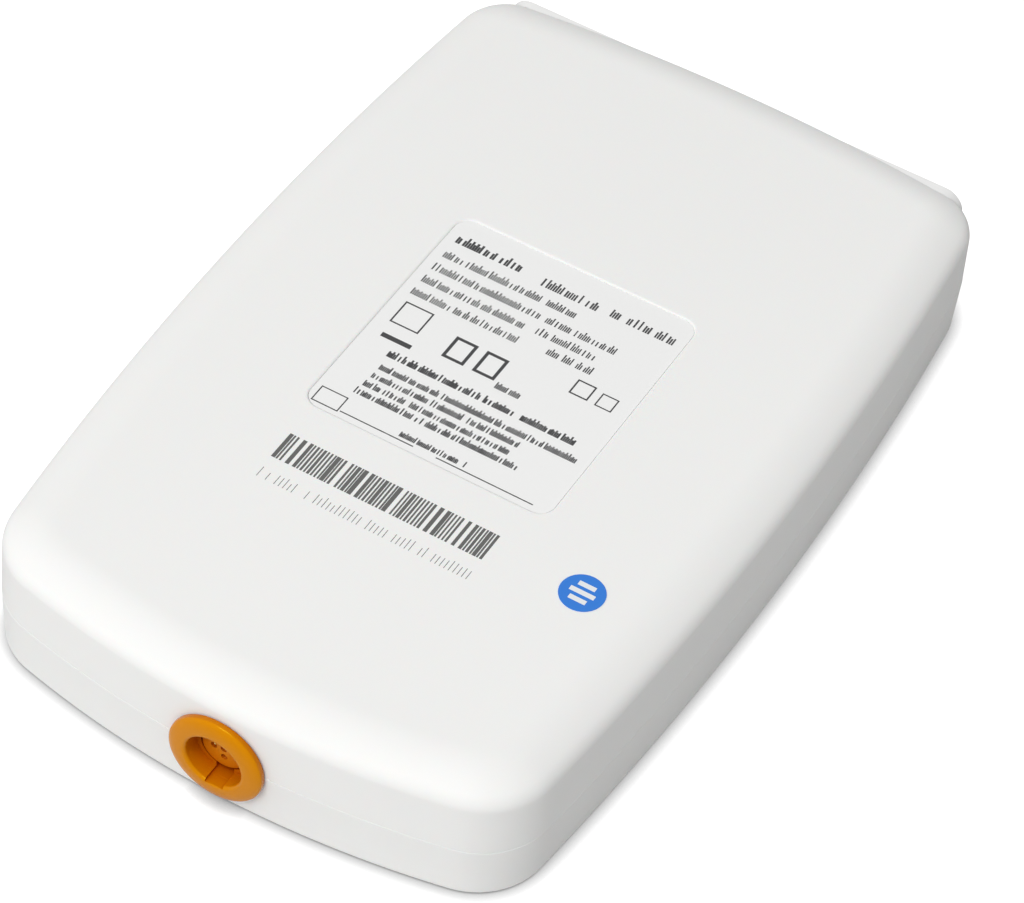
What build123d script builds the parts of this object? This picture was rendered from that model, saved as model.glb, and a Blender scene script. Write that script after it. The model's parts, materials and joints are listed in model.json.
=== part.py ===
from build123d import *
import math
import os

# A PC-connected ECG unit, lying on its front face with its labelled back up.
# Millimetres. Origin at the centre of the resting face, +X across the width,
# +Y from the patient socket to the computer port, +Z up.

# How far a cut runs past the faces it opens
cut_past = 1.0

# Housing outline, seen from above
chord_length = 161.6
near_chord = 100.0
far_chord = 101.6
near_bulge = 7.0
far_bulge = 3.8
side_bulge = 4.6
near_corner_radius = 13.8
far_corner_radius = 10.7

# Housing section
height = 26.0
seam_height = 11.3
wall = 2.2
roll_inset = 9.2
roll_height = 5.0
roll_edge_radius = 3.4
roll_steps = 6
roof_steps = 3
floor_edge = 1.0

# Seam: a lip on the front cover stands inside the back cover's wall
lip_thickness = 0.8
lip_height = 1.6
lip_clearance = 0.15
seam_gap = 0.2

# Snap hooks of the front cover and their catches in the back cover
hook_pitch = 50.0
hook_width = 8.0
hook_thickness = 1.4
hook_gap = 0.25
hook_root = 6.0
hook_reach = 0.55
hook_rise = 4.0
hook_lead_in = 2.2
hook_land = 0.5
catch_clearance = 0.15

# Stiffening ribs and hold-down posts
rib_thickness = 1.2
floor_rib_height = 1.4
roof_rib_height = 1.5
rib_pitch = 36.0
rib_length = 76.0
post_width = 5.0
post_gap = 0.3
post_x = 38.0
post_rows = (-28.0, 46.0)

# Labels on the back
label_width = 47.5
label_length = 52.7
label_center_y = -0.74
label_corner = 3.2
label_recess = 0.45
label_bevel = 0.35
label_thickness = 0.2
label_margin = 0.25
sticker_radius = 3.93
sticker_thickness = 0.12
sticker_x = 36.5
sticker_y = -37.6

# Patient socket
flange_radius = 8.7
flange_thickness = 1.7
flange_round = 1.4
flange_round_steps = 4
flange_gap = 0.1
socket_bore_radius = 5.3
socket_bore_depth = 6.0
mouth_round = 0.8
mouth_round_steps = 2
barrel_radius = 6.5
barrel_length = 11.9
barrel_clearance = 0.15
rear_bore_radius = 4.65
keyway_width = 3.4
keyway_depth = 0.6
keyway_length = 5.2
socket_turn = 4.6
seat_width = 18.0
seat_depth = 3.8
nut_across_flats = 14.9
nut_thickness = 3.0
nut_bore_clearance = 0.1

# Contacts and insulating insert of the patient socket
insert_radius = 4.05
insert_recess = 3.4
insert_fit = 0.05
ring_contacts = 4
contact_sides = 12
contact_ring_radius = 1.85
contact_radius = 0.55
contact_clearance = 0.05
contact_recess = 0.5
contact_joint = 0.05

# Small board that the socket's contacts are soldered to
socket_board_width = 13.0
socket_board_height = 14.0
socket_board_thickness = 1.0
socket_board_gap = 0.3
socket_board_rise = 0.8

# End panel with the computer port
panel_width = 92.4
panel_margin = 2.0
panel_corner = 4.0
panel_thickness = 2.2
panel_step = 1.3
panel_edge = 0.4
panel_clearance = 0.15
rim_width = 76.0
rim_depth = 3.0
rim_wall = 1.6
rim_corner = 2.5
rim_floor_gap = 0.4
rim_roof_gap = 0.2
bead_length = 50.0
bead_width = 1.2
bead_height = 1.0
bead_clearance = 0.2
tab_width = 10.0
tab_x = 20.0
tab_height = 1.8

# Main circuit board
board_width = 88.0
board_near_gap = 11.2
board_thickness = 1.6
board_corner = 3.0
board_end_gap = 0.4
boss_width = 6.0
boss_height = 3.6
boss_x = 38.0
boss_near_setback = 7.5
boss_far_setback = 10.5
pilot_radius = 1.0
pilot_depth = 4.6
screw_length = 5.6
screw_fit = 0.05
screw_across_flats = 4.0
screw_head_height = 1.6
screw_hole_radius = 1.35
pin_clearance = 0.1
isolation_gap = 10.0
isolation_width = 3.0
isolation_length = 38.0
isolation_x = -18.0

# Ribbon cable from the patient socket to the board, and its header
ribbon_thickness = 0.6
ribbon_margin = 0.5
ribbon_bend = 2.0
ribbon_rise = 5.2
ribbon_clearance = 0.1
header_setback = 5.1
header_pitch = 2.5
header_wall = 0.6
header_floor = 1.5
header_depth = 5.8
header_height = 5.4
header_end = 2.45
header_pin = 0.64
header_pin_height = 5.2
header_pin_tail = 2.8
plug_clearance = 0.2
plug_height = 5.0
plug_socket_depth = 3.8
plug_slot_depth = 1.0

# Surge arresters and series resistors behind the patient input
input_pitch = 9.0
arrester_width = 5.0
arrester_length = 5.0
arrester_height = 4.2
arrester_gap = 5.0
arrester_edge = 0.5
resistor_width = 3.2
resistor_length = 6.4
resistor_height = 0.8
resistor_gap = 2.3
resistor_bevel = 0.2

# Shield over the amplifier
shield_width = 56.0
shield_length = 34.0
shield_height = 5.0
shield_sheet = 0.3
shield_lid_height = 3.0
shield_lid_clearance = 0.1
shield_gap = 4.3
amplifier_count = 3
amplifier_pitch = 16.0
amplifier_offset = 8.0
converter_offset = 7.0

# Chips and their leads
chip_gap = 0.1
chip_bevel = 0.15
lead_pitch = 1.27
lead_width = 0.42
lead_reach = 1.0
lead_height = 0.3
small_chip_width = 5.0
small_chip_length = 4.0
small_chip_height = 1.6
small_chip_leads = 4
square_chip_side = 10.0
square_chip_height = 1.4
square_chip_leads = 7
isolator_width = 5.8
isolator_length = 7.5
isolator_height = 2.5
isolator_leads = 4
port_chip_width = 8.2
port_chip_length = 5.3
port_chip_leads = 6
controller_x = -18.0
controller_gap = 4.0
isolator_x = (-30.0, -18.0)
port_chip_x = -14.0
port_chip_setback = 18.0

# Transformer of the isolated supply
core_width = 16.0
core_depth = 5.0
core_roof_gap = 2.4
core_back = 2.0
core_leg = 4.4
core_side_leg = 2.0
core_lift = 1.0
core_clearance = 0.1
bobbin_tube = 0.7
bobbin_flange = 0.8
bobbin_flange_depth = 13.0
bobbin_margin = 0.2
winding_inset = 0.3
winding_corner = 2.8
rail_width = 2.4
rail_height = 2.6
transformer_pins = 4
transformer_pitch = 3.0
transformer_pin = 0.7
transformer_pin_tail = 2.6
transformer_x = 18.0

# Supply and timing parts
capacitor_radius = 3.15
capacitor_height = 5.2
capacitor_base = 6.6
capacitor_base_height = 0.7
capacitor_base_corner = 0.8
capacitor_edge = 0.5
capacitor_columns = (22.0, 31.0)
capacitor_setback = 20.0
inductor_side = 7.3
inductor_height = 4.0
inductor_corner = 1.6
inductor_x = -30.0
inductor_setback = 18.0
crystal_length = 11.0
crystal_width = 4.6
crystal_height = 3.2
crystal_flange = 0.5
crystal_flange_height = 0.4
crystal_x = -2.0
ceramic_width = 1.25
ceramic_length = 2.0
ceramic_height = 0.9
ceramic_pitch = 5.5
ceramic_count = 12
ceramic_gap = 2.5

# Computer port: a square type-B receptacle
port_x = 0.0
port_width = 12.0
port_height = 10.9
port_length = 16.0
port_recess = 0.5
port_clearance = 0.3
port_sheet = 0.35
port_fit = 0.05
port_mouth_width = 8.5
port_mouth_height = 7.8
port_mouth_bevel = 1.6
port_mouth_depth = 9.6
port_tongue_width = 5.6
port_tongue_height = 3.2
port_tongue_recess = 3.4
port_contact_width = 1.2
port_contact_thickness = 0.25
port_contact_pitch = 2.5
port_contact_length = 5.4
port_tail = 0.6
port_tail_length = 2.8
port_tab_width = 2.4
port_tab_length = 2.6

# Status light
light_x = 28.0
light_axis_height = 2.4
led_width = 4.0
led_length = 3.0
led_height = 4.2
led_lens_side = 2.0
led_lens_reach = 1.0
guide_width = 3.0
guide_height = 2.0
guide_collar = 0.8
guide_collar_length = 1.0
guide_clearance = 0.1
guide_gap = 0.3

# Places that follow from the sizes above
near_chord_y = -chord_length / 2
far_chord_y = chord_length / 2
near_end_y = near_chord_y - near_bulge
far_end_y = far_chord_y + far_bulge
roll_start = height - roll_height
roof = height - wall
lip_inset = wall + lip_clearance
front_inset = lip_inset + lip_thickness
front_top = seam_height - seam_gap
flange_back_y = near_end_y - flange_gap
flange_front_y = flange_back_y - flange_thickness
seat_y = near_end_y + seat_depth
barrel_end_y = flange_back_y + barrel_length
shoulder_y = flange_front_y + socket_bore_depth
insert_front_y = flange_front_y + insert_recess
contact_front_y = insert_front_y + contact_recess
socket_board_y = barrel_end_y + socket_board_gap
socket_board_back_y = socket_board_y + socket_board_thickness
contact_end_y = socket_board_y - contact_joint
panel_height = height - 2 * panel_margin
panel_front_y = far_chord_y + panel_step
panel_back_y = panel_front_y - panel_thickness
rim_back_y = panel_back_y - rim_depth
rim_low = wall + rim_floor_gap
rim_high = roll_start - rim_roof_gap
rim_center = (rim_high + rim_low) / 2
bead_y = rim_back_y + rim_depth / 2
board_low = wall + boss_height
board_top = board_low + board_thickness
board_far_y = rim_back_y - board_end_gap
board_near_y = socket_board_back_y + board_near_gap
board_length = board_far_y - board_near_y
board_center_y = (board_far_y + board_near_y) / 2
boss_near_y = board_near_y + boss_near_setback
boss_far_y = board_far_y - boss_far_setback
header_y = board_near_y + header_setback
arrester_y = header_y + header_depth / 2 + arrester_gap + arrester_length / 2
resistor_y = arrester_y + arrester_length / 2 + resistor_gap + resistor_length / 2
shield_y = resistor_y + resistor_length / 2 + shield_gap + shield_length / 2
amplifier_y = shield_y - amplifier_offset
converter_y = shield_y + converter_offset
ceramic_y = shield_y + shield_length / 2 + ceramic_gap + ceramic_length / 2
controller_y = ceramic_y + ceramic_length / 2 + controller_gap + square_chip_side / 2
isolation_y = controller_y + square_chip_side / 2 + isolation_gap
port_chip_y = isolation_y + port_chip_setback
inductor_y = isolation_y + inductor_setback
capacitor_places = [(x, isolation_y + capacitor_setback) for x in capacitor_columns]
core_height = roof - board_top - core_lift - core_roof_gap
contact_count = ring_contacts + 1
port_front_y = panel_front_y - port_recess
port_back_y = port_front_y - port_length
port_center_z = board_top + port_height / 2
guide_z = board_top + light_axis_height
guide_back_y = rim_back_y - board_end_gap - guide_gap
led_face_y = guide_back_y - guide_gap - led_lens_reach
boss_places = [(x, y) for x in (-boss_x, boss_x) for y in (boss_near_y, boss_far_y)]
screw_places = [(-boss_x, boss_near_y), (boss_x, boss_far_y)]
plug_low = board_top + header_floor + plug_clearance
plug_top = plug_low + plug_height
ribbon_z = seam_height + ribbon_rise


def block(width, length, tall, x=0.0, y=0.0, low=0.0):
    """Box centred on x and y that stands on the height low."""
    return Pos(x, y, low + tall / 2) * Box(width, length, tall)


def rod(radius, tall, x=0.0, y=0.0, low=0.0):
    """Upright cylinder that stands on the height low."""
    return Pos(x, y, low + tall / 2) * Cylinder(radius, tall)


def across(section, start_y, end_y, x=0.0, z=0.0):
    """Solid with a section in the XZ plane that runs from start_y to end_y."""
    plane = Plane(origin=(x, end_y, z), x_dir=(1, 0, 0), z_dir=(0, -1, 0))
    return extrude(plane * section, amount=end_y - start_y)


def turned(profile):
    """Solid of revolution about the socket's axis from a radius and Y profile."""
    axis = Axis((0, 0, seam_height), (0, 1, 0))
    return revolve(Pos(0, 0, seam_height) * profile, axis=axis)


def polygon(*points):
    """Closed face through the given points."""
    return make_face(Polyline(*points, close=True))


def rounded_corner(x, y, radius, start, steps):
    """Points of a quarter circle about a centre, from the angle start on."""
    turns = [math.radians(start + 90 * step / steps) for step in range(steps + 1)]
    return [(x + radius * math.cos(turn), y + radius * math.sin(turn)) for turn in turns]


def corner_at(shape, x, y):
    """The vertex of a flat shape that lies nearest to a point."""
    return shape.vertices().sort_by_distance((x, y, 0))[0]


def side_disc(start, middle, end, inset):
    """Large disc whose edge is one side of the housing, moved inwards by inset."""
    arc = ThreePointArc(start, middle, end)
    return Pos(arc.arc_center) * Rot(0, 0, 45) * Circle(arc.radius - inset)


def plan(inset=0.0):
    """Housing outline of four arcs with rounded corners, moved inwards by inset."""
    near_x = near_chord / 2
    far_x = far_chord / 2
    side_x = side_at(0.0)
    left_near = (-near_x, near_chord_y)
    left_far = (-far_x, far_chord_y)
    right_near = (near_x, near_chord_y)
    right_far = (far_x, far_chord_y)
    outline = side_disc(left_near, (0, near_end_y), right_near, inset)
    outline &= side_disc(left_far, (0, far_end_y), right_far, inset)
    outline &= side_disc(left_near, (-side_x, 0), left_far, inset)
    outline &= side_disc(right_near, (side_x, 0), right_far, inset)
    near_corners = [corner_at(outline, *place) for place in (left_near, right_near)]
    outline = fillet(near_corners, near_corner_radius - inset)
    far_corners = [corner_at(outline, *place) for place in (left_far, right_far)]
    return fillet(far_corners, far_corner_radius - inset)


def side_at(y):
    """Half width of the housing at a distance y from its middle."""
    share = y / chord_length
    chord_x = (near_chord + far_chord) / 4 + share * (far_chord - near_chord) / 2
    return chord_x + side_bulge * (1 - 4 * share * share)


def layer(outline, low, high):
    """Flat outline made into a solid between two heights."""
    return extrude(Pos(0, 0, low) * outline, amount=high - low)


def roll_profile(inset, top, steps):
    """Section of the rolled edge: a tight arc off the upright side, then a wide crown arc.

    Both arcs share a tangent where they meet, and the wall's inner side follows arcs
    about the same centres, so the wall stays even.
    """
    run = roll_inset - inset
    rise = top - roll_start
    tight = roll_edge_radius - inset
    wide = (run * run - 2 * run * tight + rise * rise) / (2 * (rise - tight))
    lean = math.atan2(wide - rise, run - tight)
    points = []
    for step in range(steps + 1):
        turn = math.pi / 2 * step / steps
        if turn < lean:
            points.append((tight - tight * math.cos(turn), tight * math.sin(turn)))
        else:
            points.append((run - wide * math.cos(turn), rise - wide + wide * math.sin(turn)))
    return polygon(*points, (run, 0))


def edge_roll(profile, arc):
    """Roll's section turned about the centre of one arc of the outline."""
    center = arc.arc_center
    start = arc @ 0
    inward = (center - start).normalized()
    plane = Plane(start, x_dir=inward, z_dir=inward.cross(Vector(0, 0, 1)))
    turn = math.degrees(arc.length / arc.radius)
    if (start - center).cross(arc @ 1 - center).Z < 0:
        turn = -turn
    axis = Axis(center, (0, 0, 1))
    return Pos(0, 0, roll_start) * revolve(plane * profile, axis=axis, revolution_arc=turn)


def rolled(inset, low, top, steps):
    """Upright sides from low, with the upper edge rolled over to the flat top."""
    profile = roll_profile(inset, top, steps)
    pieces = [edge_roll(profile, arc) for arc in plan(inset).edges()]
    pieces.append(layer(plan(roll_inset), roll_start, top))
    return layer(plan(inset), low, roll_start) + pieces


def panel_mouth():
    """Space that the end panel's plate and rim take out of both covers."""
    plate = RectangleRounded(
        panel_width + 2 * panel_clearance,
        panel_height + 2 * panel_clearance,
        panel_corner + panel_clearance,
    )
    rim_height = rim_high - rim_low
    rim = Rectangle(rim_width + 2 * panel_clearance, rim_height + 2 * panel_clearance)
    mouth = across(plate, panel_back_y - panel_clearance, far_end_y + cut_past, z=height / 2)
    return mouth + across(rim, rim_back_y - panel_clearance, panel_back_y, z=rim_center)


def socket_hole():
    """Round hole for the socket's barrel through the near end."""
    section = Circle(barrel_radius + barrel_clearance)
    return across(section, near_end_y - cut_past, seat_y + cut_past, z=seam_height)


def socket_seat(low, high):
    """Pad behind the near end with a flat face for the nut."""
    depth = seat_y - near_end_y - wall / 2
    return block(seat_width, depth, high - low, 0, seat_y - depth / 2, low)


def hook_places():
    """Side and Y of each snap hook."""
    return [(side, row * hook_pitch) for side in (-1, 1) for row in (-1, 0, 1)]


def at_side_wall(shape, side, y):
    """Sets a shape made against the plane x = 0 against a side wall's inner face."""
    slope = 8 * side_bulge * y / chord_length**2 - (far_chord - near_chord) / (2 * chord_length)
    placed = Pos(side_at(y) - wall, y) * Rot(0, 0, math.degrees(math.atan(slope))) * shape
    return placed if side > 0 else mirror(placed, about=Plane.YZ)


def snap_hook(side, y):
    """Springy hook that stands on the front cover's side wall."""
    back_x = -hook_gap - hook_thickness
    foot_z = seam_height - hook_root
    barb_z = seam_height + hook_rise
    section = polygon(
        (back_x, foot_z),
        (wall / 2, foot_z),
        (wall / 2, seam_height - hook_gap),
        (-hook_gap, seam_height - hook_gap),
        (-hook_gap, barb_z),
        (hook_reach, barb_z),
        (hook_reach, barb_z + hook_land),
        (back_x, barb_z + hook_lead_in),
    )
    return at_side_wall(across(section, -hook_width / 2, hook_width / 2), side, y)


def hook_catch(side, y):
    """Pocket in the back cover's side wall that a hook's barb snaps into."""
    depth = hook_reach + catch_clearance
    tall = hook_lead_in + 2 * catch_clearance
    width = hook_width + 4 * catch_clearance
    low = seam_height + hook_rise - catch_clearance
    pocket = block(2 * depth, width, tall, 0, 0, low)
    return at_side_wall(pocket, side, y)


def seam_lip():
    """Lip along the seam, open at the socket's seat and at the end panel."""
    lip = layer(plan(lip_inset) - plan(front_inset), front_top, seam_height + lip_height)
    seat_gap = seat_width + 2 * lip_clearance
    lip -= block(seat_gap, 2 * seat_depth, height, 0, near_end_y)
    panel_gap = panel_width + 2 * panel_clearance
    opening = far_end_y - rim_back_y + lip_clearance
    return lip - block(panel_gap, 2 * opening, height, 0, far_end_y)


def front_cover():
    """Lower shell: floor, lip, board bosses, snap hooks and half of the socket seat."""
    shell = layer(plan(), 0, front_top)
    shell = chamfer(shell.edges().group_by(Axis.Z)[0], floor_edge)
    shell -= layer(plan(front_inset), wall, front_top)
    shell += seam_lip()
    shell += socket_seat(seam_height - seat_width / 2, front_top)
    for row in (-1, 0, 1):
        shell += block(rib_length, rib_thickness, floor_rib_height, 0, row * rib_pitch, wall)
    for column in (-1, 1):
        length = 2 * rib_pitch
        shell += block(rib_thickness, length, floor_rib_height, column * rib_pitch / 2, 0, wall)
    for x, y in boss_places:
        shell += block(boss_width, boss_width, boss_height, x, y, wall)
    for x, y in screw_places:
        shell -= rod(pilot_radius, pilot_depth, x, y, board_low - pilot_depth)
    for side, y in hook_places():
        shell += snap_hook(side, y)
    groove_width = bead_width + 2 * bead_clearance
    groove_depth = bead_height - rim_floor_gap + bead_clearance
    groove_length = bead_length + 2 * bead_clearance
    shell -= block(groove_length, groove_width, groove_depth, 0, bead_y, wall - groove_depth)
    return shell - socket_hole() - panel_mouth()


def back_cover():
    """Upper shell: rolled edge, label recess, catches, ribs and half of the socket seat."""
    shell = rolled(0, seam_height, height, roll_steps)
    shell -= rolled(wall, seam_height, roof, roof_steps)
    shell += socket_seat(seam_height, seam_height + seat_width / 2)
    for side, y in hook_places():
        shell -= hook_catch(side, y)
    for row in (-1, 0, 1):
        rib_low = roof - roof_rib_height
        shell += block(rib_length, rib_thickness, roof_rib_height, 0, row * rib_pitch, rib_low)
    for x in (-post_x, post_x):
        for y in post_rows:
            low = board_top + post_gap
            shell += block(post_width, rib_thickness, roof - low, x, y, low)
            shell += block(rib_thickness, post_width, roof - low, x, y, low)
    for y in (bead_y - bead_width, bead_y + bead_width):
        shell += panel_rib(y)
    recess = RectangleRounded(label_width, label_length, label_corner)
    shell -= layer(Pos(0, label_center_y) * recess, height - label_recess, height)
    rim_edges = shell.edges().group_by(Axis.Z)[-1].filter_by(
        lambda edge: abs(edge.center().X) < label_width / 2 + label_corner
        and abs(edge.center().Y - label_center_y) < label_length / 2 + label_corner
    )
    shell = chamfer(rim_edges, label_bevel)
    return shell - socket_hole() - panel_mouth()


def panel_rib(y):
    """Rib under the roof that the end panel's tabs stand beside."""
    thickness = bead_width - 2 * bead_clearance
    length = 2 * tab_x + 2 * tab_width
    low = rim_high + rim_roof_gap
    rib = block(length, thickness, height - low, 0, y, low)
    return rib & rolled(wall / 2, seam_height, height - wall / 2, roof_steps)


def end_panel():
    """Flat end plate with the port's opening, a rear rim, a bead and two tabs."""
    outline = RectangleRounded(panel_width, panel_height, panel_corner)
    panel = across(outline, panel_back_y, panel_front_y, z=height / 2)
    panel = chamfer(panel.edges().group_by(Axis.Y)[-1], panel_edge)
    rim_height = rim_high - rim_low
    rim = RectangleRounded(rim_width, rim_height, rim_corner)
    rim -= Rectangle(rim_width - 2 * rim_wall, rim_height - 2 * rim_wall)
    panel += across(rim, rim_back_y, panel_back_y, z=rim_center)
    panel += block(bead_length, bead_width, bead_height, 0, bead_y, rim_low - bead_height)
    for x in (-tab_x, tab_x):
        panel += block(tab_width, bead_width, tab_height, x, bead_y, rim_high)
    port = Rectangle(port_width + 2 * port_clearance, port_height + 2 * port_clearance)
    through = (rim_back_y - cut_past, panel_front_y + cut_past)
    panel -= across(port, *through, port_x, port_center_z)
    light = Rectangle(guide_width + 2 * guide_clearance, guide_height + 2 * guide_clearance)
    return panel - across(light, *through, light_x, guide_z)


def rating_label():
    """Film that lies in the recess of the back cover."""
    film = RectangleRounded(
        label_width - 2 * label_margin,
        label_length - 2 * label_margin,
        label_corner - label_margin,
    )
    low = height - label_recess
    return layer(Pos(0, label_center_y) * film, low, low + label_thickness)


def round_sticker():
    """Small round film on the back cover."""
    return rod(sticker_radius, sticker_thickness, sticker_x, sticker_y, height)


def socket_housing():
    """Moulded socket body: rounded flange, stepped bore, keyway and barrel."""
    mouth = rounded_corner(
        socket_bore_radius + mouth_round, flange_front_y + mouth_round, mouth_round, 180,
        mouth_round_steps,
    )
    rim = rounded_corner(
        flange_radius - flange_round, flange_front_y + flange_round, flange_round, 270,
        flange_round_steps,
    )
    profile = polygon(
        *mouth,
        *rim,
        (flange_radius, flange_back_y),
        (barrel_radius, flange_back_y),
        (barrel_radius, barrel_end_y),
        (rear_bore_radius, barrel_end_y),
        (rear_bore_radius, shoulder_y),
        (socket_bore_radius, shoulder_y),
    )
    key_reach = socket_bore_radius + keyway_depth
    keyway = Pos(0, -key_reach / 2) * Rectangle(keyway_width, key_reach)
    slot = across(
        Rot(0, 0, socket_turn) * keyway,
        flange_front_y - cut_past,
        flange_front_y + keyway_length,
        z=seam_height,
    )
    return turned(profile) - slot


def contact_places():
    """X and Z of each contact, measured from the socket's axis, from left to right."""
    places = [(0.0, 0.0)]
    for index in range(ring_contacts):
        turn = math.radians(socket_turn + 360 / ring_contacts * index - 90)
        places.append((contact_ring_radius * math.cos(turn), contact_ring_radius * math.sin(turn)))
    return sorted(places)


def socket_insert():
    """Insulating insert with a hole for each contact."""
    collar_y = shoulder_y + insert_fit
    insert = turned(
        polygon(
            (0, insert_front_y),
            (insert_radius, insert_front_y),
            (insert_radius, collar_y),
            (rear_bore_radius - insert_fit, collar_y),
            (rear_bore_radius - insert_fit, barrel_end_y),
            (0, barrel_end_y),
        )
    )
    hole = RegularPolygon(contact_radius + contact_clearance, contact_sides)
    for x, z in contact_places():
        insert -= across(hole, insert_front_y, barrel_end_y, x, seam_height + z)
    return insert


def socket_contacts():
    """Contacts from the insert's face to the board behind the socket."""
    section = RegularPolygon(contact_radius, contact_sides)
    contacts = [
        across(section, contact_front_y, contact_end_y, x, seam_height + z)
        for x, z in contact_places()
    ]
    return Compound(children=contacts)


def socket_nut():
    """Six-sided nut that draws the flange against the covers."""
    outline = RegularPolygon(nut_across_flats / 2, 6, major_radius=False)
    ring = Rot(0, 0, 30) * outline - Circle(barrel_radius + nut_bore_clearance)
    return across(ring, seat_y, seat_y + nut_thickness, z=seam_height)


def header_places():
    """X of each pin in the header."""
    middle = (contact_count - 1) / 2
    return [(index - middle) * header_pitch for index in range(contact_count)]


def socket_board():
    """Upright board behind the socket that the contacts are soldered to."""
    outline = Rectangle(socket_board_width, socket_board_height)
    middle = seam_height + socket_board_rise
    return across(outline, socket_board_y, socket_board_back_y, z=middle)


def ribbon_width():
    """Width of the ribbon cable."""
    return (contact_count - 1) * header_pitch + 2 * ribbon_margin


def ribbon_cable():
    """Flat cable from the socket's board over to the plug and down into it."""
    top = ribbon_z + ribbon_thickness
    near = header_y - ribbon_thickness / 2
    far = header_y + ribbon_thickness / 2
    low = plug_top - plug_slot_depth
    section = polygon(
        (socket_board_back_y, ribbon_z), (near, ribbon_z), (near, low), (far, low),
        (far, top), (socket_board_back_y, top),
    )
    section = fillet([corner_at(section, near, ribbon_z)], ribbon_bend)
    section = fillet([corner_at(section, far, top)], ribbon_bend + ribbon_thickness)
    width = ribbon_width()
    return extrude(Plane(origin=(-width / 2, 0, 0), x_dir=(0, 1, 0), z_dir=(1, 0, 0)) * section,
                   amount=width)


def header_width():
    """Outer width of the board header."""
    return (contact_count - 1) * header_pitch + 2 * header_end


def ribbon_plug():
    """Plug that holds the ribbon's end over the header's pins."""
    width = header_width() - 2 * (header_wall + plug_clearance)
    depth = header_depth - 2 * (header_wall + plug_clearance)
    plug = block(width, depth, plug_height, 0, header_y, plug_low)
    for x in header_places():
        side = header_pin + 2 * pin_clearance
        plug -= block(side, side, plug_socket_depth, x, header_y, plug_low)
    slot_width = ribbon_width() + 2 * ribbon_clearance
    slot_depth = ribbon_thickness + 2 * ribbon_clearance
    slot_low = plug_top - plug_slot_depth
    return plug - block(slot_width, slot_depth, plug_slot_depth, 0, header_y, slot_low)


def board_header():
    """Open box on the board that the plug goes into."""
    header = block(header_width(), header_depth, header_height, 0, header_y, board_top)
    inside_width = header_width() - 2 * header_wall
    inside_depth = header_depth - 2 * header_wall
    inside_low = board_top + header_floor
    tall = header_height - header_floor
    header -= block(inside_width, inside_depth, tall, 0, header_y, inside_low)
    for x in header_places():
        header -= block(header_pin, header_pin, header_floor, x, header_y, board_top)
    return header


def header_pins():
    """Square pins through the header and the board."""
    tall = header_pin_height + header_pin_tail
    low = board_top - header_pin_tail
    pins = [block(header_pin, header_pin, tall, x, header_y, low) for x in header_places()]
    return Compound(children=pins)


def transformer_pin_places():
    """X and Y of the transformer's pins, in a row on each side of the isolation gap."""
    middle = (transformer_pins - 1) / 2
    reach = rail_offset()
    return [
        (transformer_x + (index - middle) * transformer_pitch, isolation_y + side * reach)
        for side in (-1, 1)
        for index in range(transformer_pins)
    ]


def rail_offset():
    """Distance of the bobbin's pin rails from the transformer's middle."""
    return bobbin_flange_depth / 2 + rail_width / 2


def port_tail_places():
    """X and Y of the port's contact tails behind its mouth."""
    back = port_front_y - port_mouth_depth
    rear = (back + port_back_y) / 2
    return [
        (port_x + side * port_contact_pitch / 2, rear + row * port_contact_pitch / 2)
        for side in (-1, 1)
        for row in (-1, 1)
    ]


def main_board():
    """Circuit board with screw holes, pin holes and the slot of the isolation gap."""
    outline = Rectangle(board_width, board_length)
    outline = chamfer(outline.vertices(), board_corner)
    board = layer(Pos(0, board_center_y) * outline, board_low, board_top)
    board -= block(isolation_length, isolation_width, board_thickness,
                   isolation_x, isolation_y, board_low)
    for x, y in screw_places:
        board -= rod(screw_hole_radius, board_thickness, x, y, board_low)
    holes = [(x, header_y, header_pin) for x in header_places()]
    holes += [(x, y, transformer_pin) for x, y in transformer_pin_places()]
    holes += [(x, y, port_tail) for x, y in port_tail_places()]
    for x, y, side in holes:
        size = side + 2 * pin_clearance
        board -= block(size, size, board_thickness, x, y, board_low)
    for side in (-1, 1):
        board -= block(
            port_sheet + 2 * pin_clearance,
            port_tab_width + 2 * pin_clearance,
            board_thickness,
            port_x + side * (port_width - port_sheet) / 2,
            port_tab_y(),
            board_low,
        )
    return board


def board_screws():
    """Six-sided screws that hold the board on two of its bosses."""
    head = RegularPolygon(screw_across_flats / 2, 6, major_radius=False)
    screws = []
    for x, y in screw_places:
        shank = rod(pilot_radius - screw_fit, screw_length, x, y, board_top - screw_length)
        screws.append(shank + layer(Pos(x, y) * head, board_top, board_top + screw_head_height))
    return Compound(children=screws)


def input_places():
    """X of each channel's protective parts."""
    middle = (contact_count - 1) / 2
    return [(index - middle) * input_pitch for index in range(contact_count)]


def surge_arresters():
    """Square arresters, one for each patient lead."""
    arresters = []
    for x in input_places():
        body = block(arrester_width, arrester_length, arrester_height, x, arrester_y, board_top)
        arresters.append(chamfer(body.edges().filter_by(Axis.Y), arrester_edge))
    return Compound(children=arresters)


def protection_resistors():
    """Flat series resistors, one for each patient lead."""
    resistors = []
    for x in input_places():
        body = block(resistor_width, resistor_length, resistor_height, x, resistor_y, board_top)
        top = body.faces().sort_by(Axis.Z)[-1]
        resistors.append(chamfer(top.edges(), resistor_bevel))
    return Compound(children=resistors)


def chip_body(width, length, tall, x, y):
    """Moulded chip package with a bevelled top."""
    body = block(width, length, tall - chip_gap, x, y, board_top + chip_gap)
    top = body.faces().sort_by(Axis.Z)[-1]
    return chamfer(top.edges(), chip_bevel)


def lead_rows(count, x, y, half_length):
    """Leads along the near and far sides of a chip."""
    places = [(index - (count - 1) / 2) * lead_pitch for index in range(count)]
    offset = half_length + lead_reach / 2
    return [
        block(lead_width, lead_reach, lead_height, x + place, y + side * offset, board_top)
        for side in (-1, 1)
        for place in places
    ]


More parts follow.
